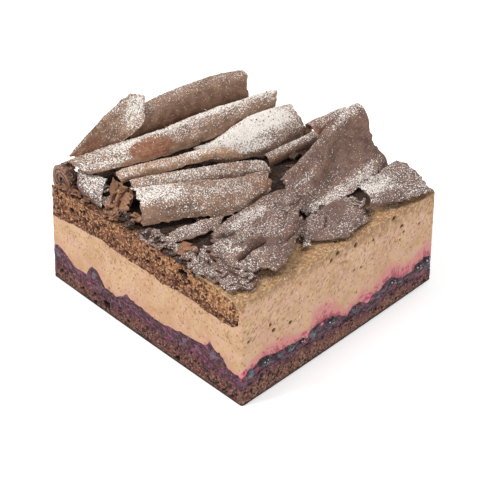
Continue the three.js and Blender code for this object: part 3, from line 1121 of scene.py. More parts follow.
@dataclass
class BerrySet:
    """Berries of one look, joined into one piece."""

    name: str
    berries: Sequence[Berry]
    detail: int = 5

    def lump(self, number: int, berry: Berry) -> bpy.types.Object:
        """One berry, a little uneven, sunk in its side of the slice."""
        clear_selection()
        bpy.ops.mesh.primitive_ico_sphere_add(subdivisions=self.detail, radius=1)
        piece = named(f"{self.name}_{number}")
        unit = read_points(piece)
        unit = unit * (1 + 0.09 * Grain.layered(unit + number * 7, 0.7, SEED + 80)[:, None])
        wide, deep, tall = berry.size
        spin = Matrix.Rotation(math.radians(berry.turn), 3, "Y")
        local = (unit * (wide, deep, tall)) @ np.array(spin).T
        quarter = list(Side).index(berry.side)
        place = -berry.place if berry.side in (Side.BACK, Side.LEFT) else berry.place
        spot = Cake.spread(np.array([[place, -Cake.HALF, berry.height]]))[0]
        local = local + spot + (0, deep - berry.proud, 0)
        turned = local @ np.array(Matrix.Rotation(quarter * math.pi / 2, 3, "Z")).T
        write_points(piece, turned * MM)
        return piece

    def build(self, finish: bpy.types.Material) -> None:
        """Makes, joins and dresses the berries."""
        pieces = [self.lump(number, berry) for number, berry in enumerate(self.berries)]
        clear_selection()
        for piece in pieces:
            piece.select_set(True)
        bpy.context.view_layer.objects.active = pieces[0]
        bpy.ops.object.join()
        whole = named(self.name)
        bpy.ops.object.shade_smooth()
        dress(whole, finish)


class BerryBed:
    """All the berries that the cut faces show."""

    CUT = (
        *Berry.row(Side.FRONT, (-37, 9.3, 3.0, 1.6, 3.1, 0.12, 20), (-21, 10.2, 2.5, 1.4, 2.9, 0.12, 10),
                   (-6, 9.6, 1.6, 1, 1.5, 0.1), (18, 9.4, 3.2, 1.4, 1.7, 0.1, -8),
                   (28.8, 10.6, 3.4, 1.6, 3.2, 0.15, -30), (4.5, 8.6, 2, 1, 1.1, 0.1, 12)),
        *Berry.row(Side.RIGHT, (17.6, 8, 2.6, 1.4, 1.5, 0.25, -12)),
        *Berry.row(Side.BACK, (-31, 9.6, 2.8, 1.5, 2.6, 0.12), (-12, 9.5, 2.6, 1.4, 2.4, 0.12),
                   (12, 9.1, 2.3, 1.4, 2.2, 0.12), (31, 8.4, 2.4, 1.4, 2.1, 0.12)),
        *Berry.row(Side.LEFT, (-36, 9.4, 2.2, 1.4, 2.3, 0.12), (-16, 9.8, 3, 1.5, 2.4, 0.12),
                   (7, 9.9, 2.7, 1.5, 2.5, 0.12), (31, 9.3, 2.6, 1.4, 2.4, 0.12)),
    )
    WHOLE = (
        *Berry.row(Side.RIGHT, (-37.3, 9.7, 1.4, 1.3, 1.8, 0.9, 20), (-31.5, 10.5, 1.9, 1.6, 1.6, 1.1),
                   (-26.4, 9.9, 1.1, 1, 1, 0.75), (-21.7, 9.4, 1.4, 1.2, 1.2, 0.8), (-17, 9, 1.1, 1, 1, 0.7),
                   (-13.1, 9.4, 1.5, 1.3, 1.5, 0.9, 25), (-5.8, 9.4, 2, 1.6, 1.6, 1.1),
                   (4.2, 8, 1.4, 1.2, 1.1, 0.8), (14.2, 7.8, 1.3, 1.2, 1.2, 0.8, 20),
                   (21.2, 8.8, 1.8, 1.5, 1.5, 1), (24.6, 7.6, 1.2, 1, 1, 0.7), (33.1, 8, 1.9, 1.6, 1.6, 1.1),
                   (37.6, 8.1, 1.5, 1.3, 1.6, 0.9)),
        *Berry.row(Side.BACK, (22, 7.6, 1.9, 1.6, 1.6, 0.4), (-22, 8.2, 1.9, 1.6, 1.4, 0.4)),
        *Berry.row(Side.LEFT, (20, 8, 1.9, 1.6, 1.4, 0.4), (-27, 8.2, 1.8, 1.6, 1.3, 0.4)),
    )
    PINK = (
        *Berry.row(Side.RIGHT, (-39, 11, 1, 1, 1.7, 0.35, 15), (-16.4, 11, 1.5, 1.1, 1.1, 0.45, -20),
                   (-9.2, 10.6, 1.1, 1, 0.7, 0.4), (10.2, 8.9, 1.7, 1.3, 1.9, 0.6, 10),
                   (28, 10.4, 1.4, 1, 0.8, 0.35, 20)),
        *Berry.row(Side.BACK, (2, 8.6, 1.5, 1, 1.1, 0.2)),
        *Berry.row(Side.LEFT, (-2, 8.4, 1.4, 1, 1, 0.2)),
    )
    BLUE = (-37.3, -26.4, -21.7, -13.1, 4.2, 14.2, 24.6)

    def painted_glints(self) -> list[Berry]:
        """Small pale drops on the dark berries of the outer face: painted highlights that stand for the glints of
        the lamps.
        """
        spots = ((-0.4, 0.35, 0.26), (0.15, 0.5, 0.18), (-0.05, 0.1, 0.15), (0.4, -0.1, 0.17))
        return [
            Berry(b.side, b.place + across * b.size[0], b.height + up * b.size[2], (size * 1.3, size, size),
                  b.proud - b.size[1] * (1 - math.sqrt(1 - across**2 - up**2)) + 0.08)
            for b in self.WHOLE if b.side is Side.RIGHT and b.place not in self.BLUE
            for across, up, size in spots
        ]

    def build(self) -> None:
        """Makes and dresses every set."""
        cut = BerryFinish("cut_berry_finish", "#50293b", "#5f5563", "#230e18", 0.4)
        whole = BerryFinish("whole_berry_finish", "#10090d", "#2b2a33", "#050304", 0.1)
        pink = BerryFinish("berry_flesh_finish", "#b8405c", "#d2808c", "#8a2440", 0.25)
        # pale drops that are painted highlights, the glints on the dark berries
        glint_paint = BerryFinish("painted_glint_finish", "#d9c8d0", "#c8a8b4", "#a88490", 0.1)
        blue = BerryFinish("blue_berry_finish", "#33343d", "#62666f", "#120e14", 0.25)
        BerrySet("berry_flesh", self.PINK).build(pink.make())
        BerrySet("painted_glint_drops", self.painted_glints(), 2).build(glint_paint.make())
        BerrySet("cut_berries", self.CUT).build(cut.make())
        BerrySet("whole_berries", [b for b in self.WHOLE if b.place not in self.BLUE]).build(whole.make())
        BerrySet("blue_berries", [b for b in self.WHOLE if b.place in self.BLUE]).build(blue.make())


# ---------------------------------------------------------------- chocolate


@dataclass(frozen=True)
class Patch:
    """A spot on a sheet: its middle in 0..1 along and over it, its half sizes in millimetres, its strength."""

    u: float
    v: float
    wide: float
    tall: float
    strength: float = 1.0


@dataclass(frozen=True)
class Groove:
    """A pressed line in a sheet, from one place to another in 0..1, with its width and depth in millimetres."""

    start: Pair
    end: Pair
    width: float
    depth: float


@dataclass(frozen=True)
class Shaving:
    """A curled sheet of chocolate between a foot line and a brow line.

    It rises from the foot to the brow in an arc that stands out by bulge, curls back through turn degrees over
    the length of its hook, and then hangs straight. Each end is set back by (place over the sheet, millimetres).
    """

    node: str
    brow: Sequence[Triple]
    foot: Sequence[Triple]
    bulge: Sequence[float] = (0.0,)
    hook: Sequence[float] = (0.5,)
    turn: Sequence[float] = (0.0,)
    hang: Sequence[float] = (0.0,)
    thick: float = 0.75
    dust: float = 0.7
    ragged: float = 0.5
    start: Sequence[Pair] = ((0, 0), (1, 0))
    end: Sequence[Pair] = ((0, 0), (1, 0))
    bare: Sequence[Patch] = ()
    thin: Sequence[Patch] = ()
    grooves: Sequence[Groove] = ()
    holes: Sequence[Patch] = ()
    waves: float = 0.3
    fray: float = 0.6
    dusty: Sequence[Patch] = ()
    lie: Pair = (0.3, 0.85)
    grey: float = 0.3
    pale: float = 0.0
    warm: bool = False

    CELL = 0.42
    STATIONS = 41

    def section(self, u: Points) -> tuple[Points, ...]:
        """The section's sizes at each place along the sheet."""
        safe = lambda value: np.where(np.abs(value) < 1e-3, 1e-3, value)
        brow = spline(self.brow, u)
        foot = spline(self.foot, u)
        rise = brow - foot
        chord = np.linalg.norm(rise, axis=1)
        bulge = safe(along(self.bulge, u))
        half = 2 * np.arctan(2 * bulge / chord)
        radius = chord / 2 / np.sin(half)
        hook = along(self.hook, u)
        curl = hook / safe(np.radians(along(self.turn, u)))
        return foot, rise / chord[:, None], chord, half, radius, hook, curl, along(self.hang, u)

    def run(self, u: Points) -> Points:
        """The direction along the sheet."""
        step = 1e-3
        low, high = np.clip(u - step, 0, 1), np.clip(u + step, 0, 1)
        total = np.zeros((len(u), 3))
        for rail in (self.brow, self.foot):
            way = spline(rail, high) - spline(rail, low)
            total += way / np.linalg.norm(way, axis=1)[:, None]
        return total / np.linalg.norm(total, axis=1)[:, None]

    def place(self, u: Points, v: Points, offset: Points) -> tuple[Points, Points]:
        """Points of the sheet.

        Args:
            u: places along it, 0 to 1.
            v: places up and over its section, 0 to 1.
            offset: distance out from its middle surface.

        Returns:
            The points, and how far each lies up the section in millimetres.
        """
        foot, rise, chord, half, radius, hook, curl, hang = self.section(u)
        out = np.cross(self.run(u), rise)
        out /= np.linalg.norm(out, axis=1)[:, None]
        face = 2 * radius * half
        walked = v * (face + hook + hang)
        on_face = np.minimum(walked, face)
        on_hook = np.minimum(walked - on_face, hook)
        straight = walked - on_face - on_hook
        face_angle = half * (2 * on_face / face - 1)
        angle = face_angle + on_hook / curl
        up = radius * (np.sin(face_angle) + np.sin(half)) + curl * (np.sin(angle) - np.sin(face_angle))
        proud = radius * (np.cos(face_angle) - np.cos(half)) + curl * (np.cos(angle) - np.cos(face_angle))
        up = up + straight * np.cos(angle) + offset * np.sin(angle)
        proud = proud - straight * np.sin(angle) + offset * np.cos(angle)
        return foot + rise * up[:, None] + out * proud[:, None], walked

    def build(self) -> bpy.types.Object:
        """The sheet, in metres, with marks for its dust, its bare spots and the painted shade of its grooves."""
        seed = SEED + sum(ord(letter) for letter in self.node)
        middle = np.linspace(0, 1, self.STATIONS)
        length = float(np.linalg.norm(np.diff(spline(self.brow, middle), axis=0), axis=1).sum())
        tall = float(self.place(middle, np.ones(self.STATIONS), np.zeros(self.STATIONS))[1].max())
        clear_selection()
        columns, rows = max(8, round(length / self.CELL)), max(6, round(tall / self.CELL))
        bpy.ops.mesh.primitive_grid_add(x_subdivisions=columns, y_subdivisions=rows, size=1)
        piece = named(self.node.replace("shaving", "curl").replace("fragment", "shard"))
        unit = read_points(piece)
        u, v = unit[:, 0] + 0.5, unit[:, 1] + 0.5
        back = lambda line: np.interp(v, [p for p, _ in line], [d for _, d in line])
        low = (back(self.start) + self.ragged * self.torn(v * tall, seed)) / length
        high = (back(self.end) + self.ragged * self.torn(v * tall, seed + 1)) / length
        foot = self.ragged * self.fray * self.torn(u * length, seed + 2) / tall
        tip = self.ragged * self.fray * self.torn(u * length, seed + 3) / tall
        u = np.clip(low + u * (1 - low - high), 0, 1)
        v = np.clip(foot + v * (1 - foot - tip), 0, 1)
        flat = np.stack([u * length, v * tall, np.full(len(u), seed * 3.0)], axis=1)
        offset = self.waves * Grain.layered(flat * (0.6, 1, 1), 4.5, seed + 1)
        pressed = np.zeros(len(u))
        for groove in self.grooves:
            pressed += self.press(groove, flat, length, tall)
        points, _ = self.place(u, v, offset - pressed)
        write_points(piece, points)
        far = (0.5 - np.abs(unit[:, :2])) * (length, tall)
        edge = far.min(axis=1)
        rim = (1 - smoothstep(edge, 0, 0.9)) * smoothstep(Grain.smooth(flat, 3, seed + 6), -0.3, 0.5)
        blotch = 0.75 + 0.55 * Grain.layered(flat * (0.5, 1, 1), 4, seed + 7)
        write_marks(
            piece,
            bare=np.maximum(self.spots(self.bare, flat, length, tall), 0.35 * rim),
            dust=self.dust * blotch,
            extra=0.9 * self.spots(self.dusty, flat, length, tall),
            less=self.spots((*self.bare, *self.thin), flat, length, tall),
            grey=self.grey,
            pale=self.pale,
            # painted shade along the pressed grooves
            crack=np.clip(pressed / 1.2, 0, 1),
        )
        write_sheet_place(piece, flat)
        self.punch(piece, flat, length, tall)
        self.thicken(piece, edge)
        self.roughen(piece, seed)
        lying = smoothstep(read_normals(piece)[:, 2], *self.lie)
        dust = (read_mark(piece, "dust") + read_mark(piece, "extra")) * (1 - 0.85 * read_mark(piece, "less"))
        write_marks(piece, dust=np.clip(dust * (0.06 + 0.94 * lying), 0, 1.3))
        to_metres(piece)
        return piece

    @staticmethod
    def torn(place: Points, seed: int) -> Points:
        """Depth of a torn edge along its length, 0 to 1.6 mm, in sharp uneven steps."""
        rng = np.random.default_rng(seed)
        knots = np.cumsum(rng.uniform(0.4, 2.2, 60))
        coarse = np.interp(place, knots, 1.6 * rng.random(60) ** 1.8)
        chips = np.interp(place * 2.6, knots, 0.35 * rng.random(60))
        return coarse + chips

    def spots(self, patches: Sequence[Patch], flat: Points, length: float, tall: float) -> Points:
        """How strongly each corner lies in any of the patches, with uneven edges."""
        total = np.zeros(len(flat))
        uneven = 0.45 * Grain.layered(flat, 2.2, SEED + 90)
        for patch in patches:
            aside = (flat[:, 0] - patch.u * length) / patch.wide
            away = np.hypot(aside, (flat[:, 1] - patch.v * tall) / patch.tall)
            total = np.maximum(total, patch.strength * (1 - smoothstep(away + uneven, 0.6, 1.2)))
        return total

    def press(self, groove: Groove, flat: Points, length: float, tall: float) -> Points:
        """Depth of a groove at each corner, with a raised lip on its left."""
        scale = np.array([length, tall])
        start = np.array(groove.start) * scale
        way = np.array(groove.end) * scale - start
        part = np.clip((flat[:, :2] - start) @ way / (way @ way), 0, 1)
        rest = flat[:, :2] - start - part[:, None] * way
        away = np.linalg.norm(rest, axis=1) / groove.width
        left = (way[0] * rest[:, 1] - way[1] * rest[:, 0]) / np.linalg.norm(way) / groove.width
        lip = np.exp(-((left - 1.7) ** 2) / 1.2) * np.exp(-((away / 2.6) ** 4))
        return groove.depth * (np.exp(-(away**2)) - 0.8 * lip) * (0.3 + 0.7 * np.sin(part * math.pi))

    def punch(self, piece: bpy.types.Object, flat: Points, length: float, tall: float) -> None:
        """Breaks holes through the sheet."""
        if not self.holes:
            return
        gone = iter(self.spots(self.holes, flat, length, tall) > 0.5)
        pick_only(piece)
        bpy.ops.object.mode_set(mode="EDIT")
        choose(piece, "VERT", lambda corner: next(gone))
        bpy.ops.mesh.delete(type="VERT")
        bpy.ops.object.mode_set(mode="OBJECT")

    def thicken(self, piece: bpy.types.Object, edge: Points) -> None:
        """Gives the sheet its thickness, which thins out towards its edges."""
        group = piece.vertex_groups.new(name="body")
        if len(edge) == len(piece.data.vertices):
            for index, weight in enumerate(0.3 + 0.7 * smoothstep(edge, 0, 2.2)):
                group.add([index], float(weight), "REPLACE")
        else:
            group.add(list(range(len(piece.data.vertices))), 0.8, "REPLACE")
        settings = {"thickness": self.thick, "offset": 0, "vertex_group": group.name, "use_quality_normals": True}
        apply_modifier(piece, "SOLIDIFY", settings)
        piece.vertex_groups.clear()
        face_outward()

    def roughen(self, piece: bpy.types.Object, seed: int) -> None:
        """Adds the fine unevenness of scraped chocolate."""
        points = read_points(piece)
        fine = 0.06 * Grain.layered(points, 0.9, seed + 5) + 0.1 * Grain.smooth(points, 2.6, seed + 8)
        write_points(piece, points + read_normals(piece) * fine[:, None])
        pick_only(piece)
        bpy.ops.object.shade_smooth_by_angle(angle=SHARP)


@dataclass(frozen=True)
class CornerRoll:
    """The small crumbly roll on the left corner: one strip wound into a spiral."""

    centre: Triple = (-35.5, -37.2, 36.2)
    length: float = 3.8
    inner: float = 0.7
    outer: float = 4.5
    winds: float = 3.0
    start: float = 60.0
    thick: float = 1.0

    def build(self) -> bpy.types.Object:
        """The roll, in metres."""
        clear_selection()
        bpy.ops.mesh.primitive_grid_add(x_subdivisions=90, y_subdivisions=18, size=1)
        piece = named("corner_roll")
        unit = read_points(piece)
        v = unit[:, 0] + 0.5
        wobble = 0.4 * Grain.layered(unit * (24, 7, 1), 2.4, SEED + 70)
        angle = np.radians(self.start) - self.winds * 2 * np.pi * v
        radius = self.inner + (self.outer - self.inner) * v + wobble
        ragged = 0.5 * Grain.layered(unit * (22, 0, 1), 1.2, SEED + 71) * np.abs(unit[:, 1]) * 2
        y = self.centre[1] + unit[:, 1] * self.length + ragged
        x = self.centre[0] + radius * np.cos(angle)
        write_points(piece, np.stack([x, y, self.centre[2] + radius * np.sin(angle)], axis=1))
        edge = (0.5 - np.abs(unit[:, 1])) * self.length
        bare = 0.55 - 0.2 * smoothstep(edge, 0, 1.5)
        dust = 0.15 + 0.25 * smoothstep(edge, 0.5, 3)
        # painted shade on the inner winds of the roll
        write_marks(piece, bare=bare, dust=dust, grey=0.25, pale=0, crack=0.8 * smoothstep(0.4 - v, 0, 0.3))
        apply_modifier(piece, "SOLIDIFY", {"thickness": self.thick, "offset": 0})
        face_outward()
        points = read_points(piece)
        rough = 0.3 * Grain.layered(points, 0.9, SEED + 72)
        write_points(piece, points + read_normals(piece) * rough[:, None])
        bpy.ops.object.shade_smooth_by_angle(angle=SHARP)
        to_metres(piece)
        return piece


class Heap:
    """All the shavings, from the back left to the front."""

    SHEETS = (
        Shaving(
            "shaving_back",
            brow=((-33.6, -15, 43.8), (-31.7, -2.5, 46.6), (-31, 20, 46.4), (-30.7, 33.3, 44.8)),
            foot=((-32.9, -14.6, 40.6), (-30.6, -2.5, 41.2), (-28.7, 20, 40), (-28.3, 30.5, 38.9)),
            bulge=(0.4,), hook=(10, 10, 10, 9.4), turn=(150,), hang=(7.6,),
            dust=0.5, lie=(0.3, 1), grey=0.1, pale=0.15,
            end=((0, -0.5), (0.1, 0.6), (0.18, 1.6), (0.26, 1.2), (0.34, 0.2), (1, 0)),
            bare=(Patch(0.98, 0.2, 3, 2.4, 0.7),),
        ),
        Shaving(
            "shaving_point",
            brow=((-37.5, -34.6, 41.1), (-37.1, -20.7, 49.6), (-36.9, -9.3, 53.2), (-34.6, -6.6, 51.4)),
            foot=((-36.2, -33.2, 39.2), (-34, -22.6, 39.6), (-31.2, -15.2, 43.8), (-29.8, -10.9, 47)),
            dust=0.7, lie=(-0.2, 0.8), grey=0, pale=0.6,
            bare=(Patch(0.02, 0.4, 9, 6, 0.6), Patch(0.3, 0.2, 8, 3, 0.3)),
            dusty=(Patch(0.75, 0.65, 9, 4, 0.6),),
            end=((0, 1.2), (0.25, 0.2), (0.5, 1.8), (0.75, 0.6), (1, 0.8)),
            ragged=0.8,
        ),
        Shaving(
            "shaving_second",
            brow=((-33.2, -38, 42.5), (-24.2, -11.2, 44.4), (-22.2, 11.7, 44.1), (-19.8, 36, 42.5)),
            foot=((-26.6, -36, 40.9), (-19.7, -11.2, 39.9), (-17.9, 11.7, 39.5), (-18.1, 31.6, 39.3)),
            bulge=(0.2, 0.5, 0.5, 0.4), hook=(3.2, 5.8, 5.8, 5.8), turn=(50, 125, 130, 130),
            hang=(0, 6.5, 7, 6.5),
            dust=0.85, lie=(0.45, 1), grey=0.1, pale=0.25,
            dusty=(Patch(0.08, 0.35, 8, 6, 0.12), Patch(0.2, 0.35, 6, 2.2, 0.3), Patch(0.6, 0.42, 30, 1.4, 0.4)),
            bare=(Patch(0.28, 0.2, 7.5, 3.4, 1),),
            end=((0, 0), (0.12, 0.5), (0.25, 1.4), (0.4, 0.4), (1, 0)),
        ),
        Shaving(
            "shaving_white",
            brow=((-17.1, -4, 40.3), (-16.7, 3.2, 39.8), (-16.9, 19.7, 41.6), (-14.4, 36.5, 40.7)),
            foot=((-15.8, -4, 37.8), (-12.6, 3, 34.4), (-7.6, 18, 33.6), (-7.2, 34.5, 33.4)),
            bulge=(0.2, 0.8, 1.6, 1.4), hook=(0.4, 0.4, 1, 1.2), turn=(10, 10, 30, 40),
            dust=0.95, lie=(0.05, 0.6), grey=0.35, pale=0.3,
            dusty=(Patch(0.55, 0.72, 16, 3.5, 0.6),),
        ),
        Shaving(
            "shaving_slim",
            brow=((-22.3, -29.8, 40), (-15.6, -14.2, 41.1), (-10.9, -1.8, 41.4), (-7.9, 5.6, 39.8)),
            foot=((-20.7, -29.3, 37.7), (-13.6, -13.9, 38.9), (-9, -1.4, 39.3), (-6, 6, 37.6)),
            bulge=(0.3,), hook=(4.4,), turn=(170,),
            dust=0.95, lie=(0.1, 0.8), grey=0, pale=1,
            bare=(Patch(0.78, 0.2, 8, 2.2, 0.4),),
        ),
        Shaving(
            "shaving_front_upper",
            brow=((-15.5, -30, 40.2), (-6.6, -10.8, 39.9), (-2.8, 4, 37.8), (-0.7, 10.8, 35.9)),
            foot=((-12.8, -30.5, 37.4), (-3.6, -10, 36.8), (0.4, 4.8, 35), (1.6, 10.4, 33.9)),
            bulge=(0.2,), hook=(3.4,), turn=(120,), hang=(3.8, 3.7, 2.4, 0.8),
            dust=0.7, lie=(0.2, 0.8), grey=0.15, pale=0.25,
        ),
        Shaving(
            "shaving_front",
            brow=((-13.3, -31.9, 40.5), (-5, -18, 40.5), (0, -8.4, 39.4), (3.5, 7, 37)),
            foot=((-3, -37.5, 34.5), (4, -23.2, 34.9), (10, -14.8, 34.7), (9.5, 2.8, 35.2)),
            bulge=(1.2, 1.6, 1.6, 0.8), turn=(20,),
            dust=0.55, lie=(-0.1, 0.75), grey=0.12, pale=0.1,
            dusty=(Patch(0.1, 0.8, 9, 4, 0.45), Patch(0.45, 0.6, 14, 2.5, 0.25)),
            thin=(Patch(0.05, 0.1, 8, 4, 0.7), Patch(0.5, 0.04, 22, 2, 0.4)),
            bare=(Patch(0.98, 0.4, 5, 4, 0.55),),
            start=((0, 0.6), (0.2, 0), (0.5, 1), (0.8, 0.3), (1, 0)),
            ragged=0.8, waves=0.5,
            grooves=(Groove((0.1, 0.3), (0.5, 0.2), 1.2, 0.35), Groove((0.4, 0.75), (0.8, 0.6), 1.2, 0.35)),
        ),
        Shaving(
            "shaving_front_lower",
            brow=((5.3, -35.1, 35.6), (6.8, -25.2, 35.8), (9.9, -17.4, 35.6)),
            foot=((8.9, -35.2, 34.8), (11.3, -28.8, 34.7), (11.4, -20.8, 34.7)),
            dust=0.6, grey=0.45, ragged=0.7,
        ),
        Shaving(
            "shaving_middle",
            brow=((-2.4, 12.9, 35.5), (-0.7, 36, 35.8)),
            foot=((-1.9, 12.9, 33.4), (0, 35, 33.2)),
            bulge=(0.2,), hook=(4.6,), turn=(150,),
            dust=0.75, lie=(0.4, 0.95), grey=0.1,
        ),
        Shaving(
            "shaving_hollow",
            brow=((11.2, 4.2, 38.1), (9.6, 17.8, 39.8), (8.8, 30, 43.5), (12, 39.4, 49)),
            foot=((26, 0, 34.6), (26, 18, 34.4), (25, 30, 34.4), (23, 38.7, 34.2)),
            bulge=(-1.5, -2.5, -2.6, 2.2), hook=(2, 2.6, 4, 6.5), turn=(110, 110, 100, 95),
            dust=0.36, lie=(0.1, 0.95), grey=0.55, fray=1.6,
            dusty=(Patch(0.42, 0.14, 18, 4, 0.38), Patch(0.95, 0.85, 11, 3, 0.5), Patch(0.12, 0.66, 7, 2.6, 0.2)),
            thin=(Patch(0.85, 0.45, 12, 7, 0.8), Patch(0.42, 0.55, 11, 3.5, 0.75)),
            grooves=(Groove((0.02, 0.24), (0.62, 0.66), 3, 0.6),),
            bare=(Patch(1, 0.3, 2.2, 9, 0.7),),
            end=((0, 0.4), (0.12, 1.2), (0.25, 2.8), (0.4, 2.6), (0.55, 1.6), (0.7, 0.6), (1, 0)),
        ),
        Shaving(
            "shaving_fold",
            brow=((0.8, 26.4, 43.4), (4.4, 40, 45.8)),
            foot=((4.8, 27, 40.8), (6, 40, 43.6)),
            bulge=(0.6,), hook=(4.6,), turn=(170,),
            dust=0.8, lie=(0.3, 0.9), grey=0.35,
            bare=(Patch(0, 0.2, 1.5, 3, 0.8), Patch(0.3, 0.05, 6, 1.6, 0.8)),
        ),
        Shaving(
            "shaving_corner",
            brow=((29.2, 17.4, 38), (27.8, 28, 37.2), (27.7, 38.8, 38)),
            foot=((34.8, 15.8, 34.4), (38.9, 28, 33.4), (40.6, 39.3, 32.8)),
            bulge=(0.8,), hook=(2,), turn=(50,),
            dust=0.64, lie=(0.2, 0.95), grey=0.7, waves=1, ragged=0.9, fray=0.8,
            dusty=(Patch(0.25, 0.7, 7, 4, 0.4),),
        ),
        Shaving(
            "shaving_side",
            brow=((28.6, -9.4, 34.9), (25.6, 4, 35.5), (26, 15.4, 35)),
            foot=((33, -8.6, 34.5), (39.3, 0.5, 34.2), (37.3, 14, 34)),
            bulge=(0.2, 0.5, 0.3),
            dust=0.34, lie=(0.2, 0.95), grey=0.7, ragged=0.7, fray=0.9, waves=0.6,
            grooves=(Groove((0.3, 0.35), (0.55, 0.75), 0.6, 0.7),),
        ),
        Shaving(
            "shaving_big",
            brow=((13.5, -26.6, 36.2), (13.4, -14, 36.7), (14.4, -1.4, 37.9), (17.8, 6.2, 38)),
            foot=((20.5, -33.4, 36.1), (33, -32, 36.4), (39, -26, 36.5), (27.5, -3.2, 36.6)),
            bulge=(0.4, 1.2, 1.6, 1), hook=(1.5, 2.5, 2.5, 1), turn=(30, 60, 60, 30),
            dust=0.43, lie=(0.2, 0.95), grey=0.6, waves=0.9, ragged=1.2, fray=1.4,
            dusty=(Patch(0.35, 0.75, 8, 5, 0.35), Patch(0.2, 0.3, 8, 4, 0.3)),
            thin=(Patch(0.9, 0.3, 8, 6, 0.4), Patch(0.4, 0.34, 6, 2, 0.85)),
            grooves=(Groove((0.27, 0.12), (0.41, 0.28), 0.5, 2.6), Groove((0.37, 0.26), (0.54, 0.33), 0.5, 2.6),
                     Groove((0.3, 0.29), (0.5, 0.42), 1.5, -1.3), Groove((0.6, 0.75), (0.95, 0.6), 0.8, 0.8),
                     Groove((0.05, 0.5), (0.3, 0.62), 0.9, 0.9), Groove((0.66, 0.3), (0.9, 0.15), 0.7, 0.9)),
            end=((0, 0.4), (0.3, 2.2), (0.55, 0.2), (0.75, 2.4), (1, 0)),
        ),
        Shaving(
            "shaving_ragged",
            brow=((15, -31, 35.4), (24, -29, 35.2), (34, -26, 35.2)),
            foot=((18.5, -38, 35), (28.5, -40.4, 35.1), (39.3, -36, 35.3)),
            dust=0.42, lie=(0.2, 0.95), grey=0.6, ragged=1.1, waves=0.7, fray=0.7,
            holes=(Patch(0.3, 0.6, 1.4, 0.5), Patch(0.52, 0.35, 1, 0.4), Patch(0.16, 0.75, 0.9, 0.6)),
            thin=(Patch(0.85, 0.5, 6, 4, 0.7),),
            grooves=(Groove((0.1, 0.55), (0.4, 0.4), 0.6, 0.9), Groove((0.5, 0.6), (0.85, 0.4), 0.6, 0.9)),
        ),
        Shaving(
            "shaving_left",
            brow=((-32, -35.9, 40.2), (-23.6, -31.6, 38.6)),
            foot=((-27, -38.3, 34.2), (-18.5, -38.2, 34.3)),
            bulge=(1.4,), dust=0.85, lie=(-0.2, 0.7), grey=0.8, ragged=0.3, fray=0.8,
        ),
        Shaving(
            "fragment_brown",
            brow=((-20.6, -32.4, 42), (-17.5, -31.6, 38.4), (-12.6, -32.2, 37.2)),
            foot=((-17.3, -37.5, 34.5), (-14.3, -38, 34.5), (-9.6, -35, 35)),
            bulge=(0.3, -0.8, 0.6), dust=0.12, grey=0, ragged=0.9, waves=0.5, warm=True,
            grooves=(Groove((0.3, 0.05), (0.36, 0.95), 0.35, 1.7), Groove((0.62, 0.1), (0.58, 0.95), 0.35, 1.5),
                     Groove((0.46, 0.2), (0.47, 0.9), 0.6, -0.7)),
        ),
        Shaving(
            "fragment_red",
            brow=((11, -34.6, 35.8), (14.2, -33.4, 36)),
            foot=((12, -38.8, 34.8), (16, -37.5, 35.2)),
            bulge=(0.3,), dust=0.15, grey=0, ragged=0.5, bare=(Patch(0.5, 0.5, 9, 9, 1),),
        ),
        Shaving(
            "fragment_edge",
            brow=((-1, -39.5, 34.6), (8.6, -36.8, 34.7)),
            foot=((0.5, -41.1, 34.4), (9.5, -39.8, 34.7)),
            dust=0.35, grey=0.3, ragged=0.8,
        ),
    )

    def build(self) -> list[bpy.types.Object]:
        """Makes and dresses every shaving.

        Returns:
            The pieces that sugar can lie on.
        """
        shades = ("#493330", "#755750", "#8f6a50", "#c19a7b")
        dusted = ChocolateFinish(
            "dusted_chocolate_finish", "#644536", "#99745b", *shades,
            warm_dark="#74462f", warm="#a36c4c", deep="#24140f", film="#ada09a",
            sugar="#f2ece6",
        ).make()
        bare = ChocolateFinish(
            "bare_chocolate_finish", "#6b422c", "#ab7c5b", *shades,
            warm_dark="#7a4c32", warm="#bd906c", deep="#32190c", film="#b9a690",
            sugar="#efe6da",
        ).make()
        pieces = []
        for sheet in self.SHEETS:
            piece = sheet.build()
            dress(piece, bare if sheet.warm else dusted, [sheet.node])
            pieces.append(piece)
        roll = CornerRoll().build()
        dress(roll, dusted, ["roll_corner"])
        # the near-black finish of these chips is partly painted shade for the gaps of the heap
        dark = ChocolateFinish(
            "shade_dark_chocolate_finish", "#24140e", "#4b2e20", *shades,
            warm_dark="#4a2c1c", warm="#7a5038", deep="#160c08", film="#9a8a80",
            sugar="#e2d8cf",
        ).make()
        chips = Rubble().build({Tone.DUSTED: dusted, Tone.BARE: bare, Tone.DARK: dark})
        return [*pieces, roll, *chips]


# ---------------------------------------------------------------- broken chips


class Tone(Enum):
    """The looks that broken chips come in."""

    DUSTED = "dusted"
    BARE = "bare"
    # near-black chips: real chips, partly painted shade that fills the shadowed gaps of the heap
    DARK = "dark"


@dataclass(frozen=True)
class Heaplet:
    """A handful of chips: its middle, how far it spreads in x, y and z, their number, sizes and tilt."""

    middle: Triple
    spread: Triple
    count: int
    size: Pair
    tilt: float = 25.0


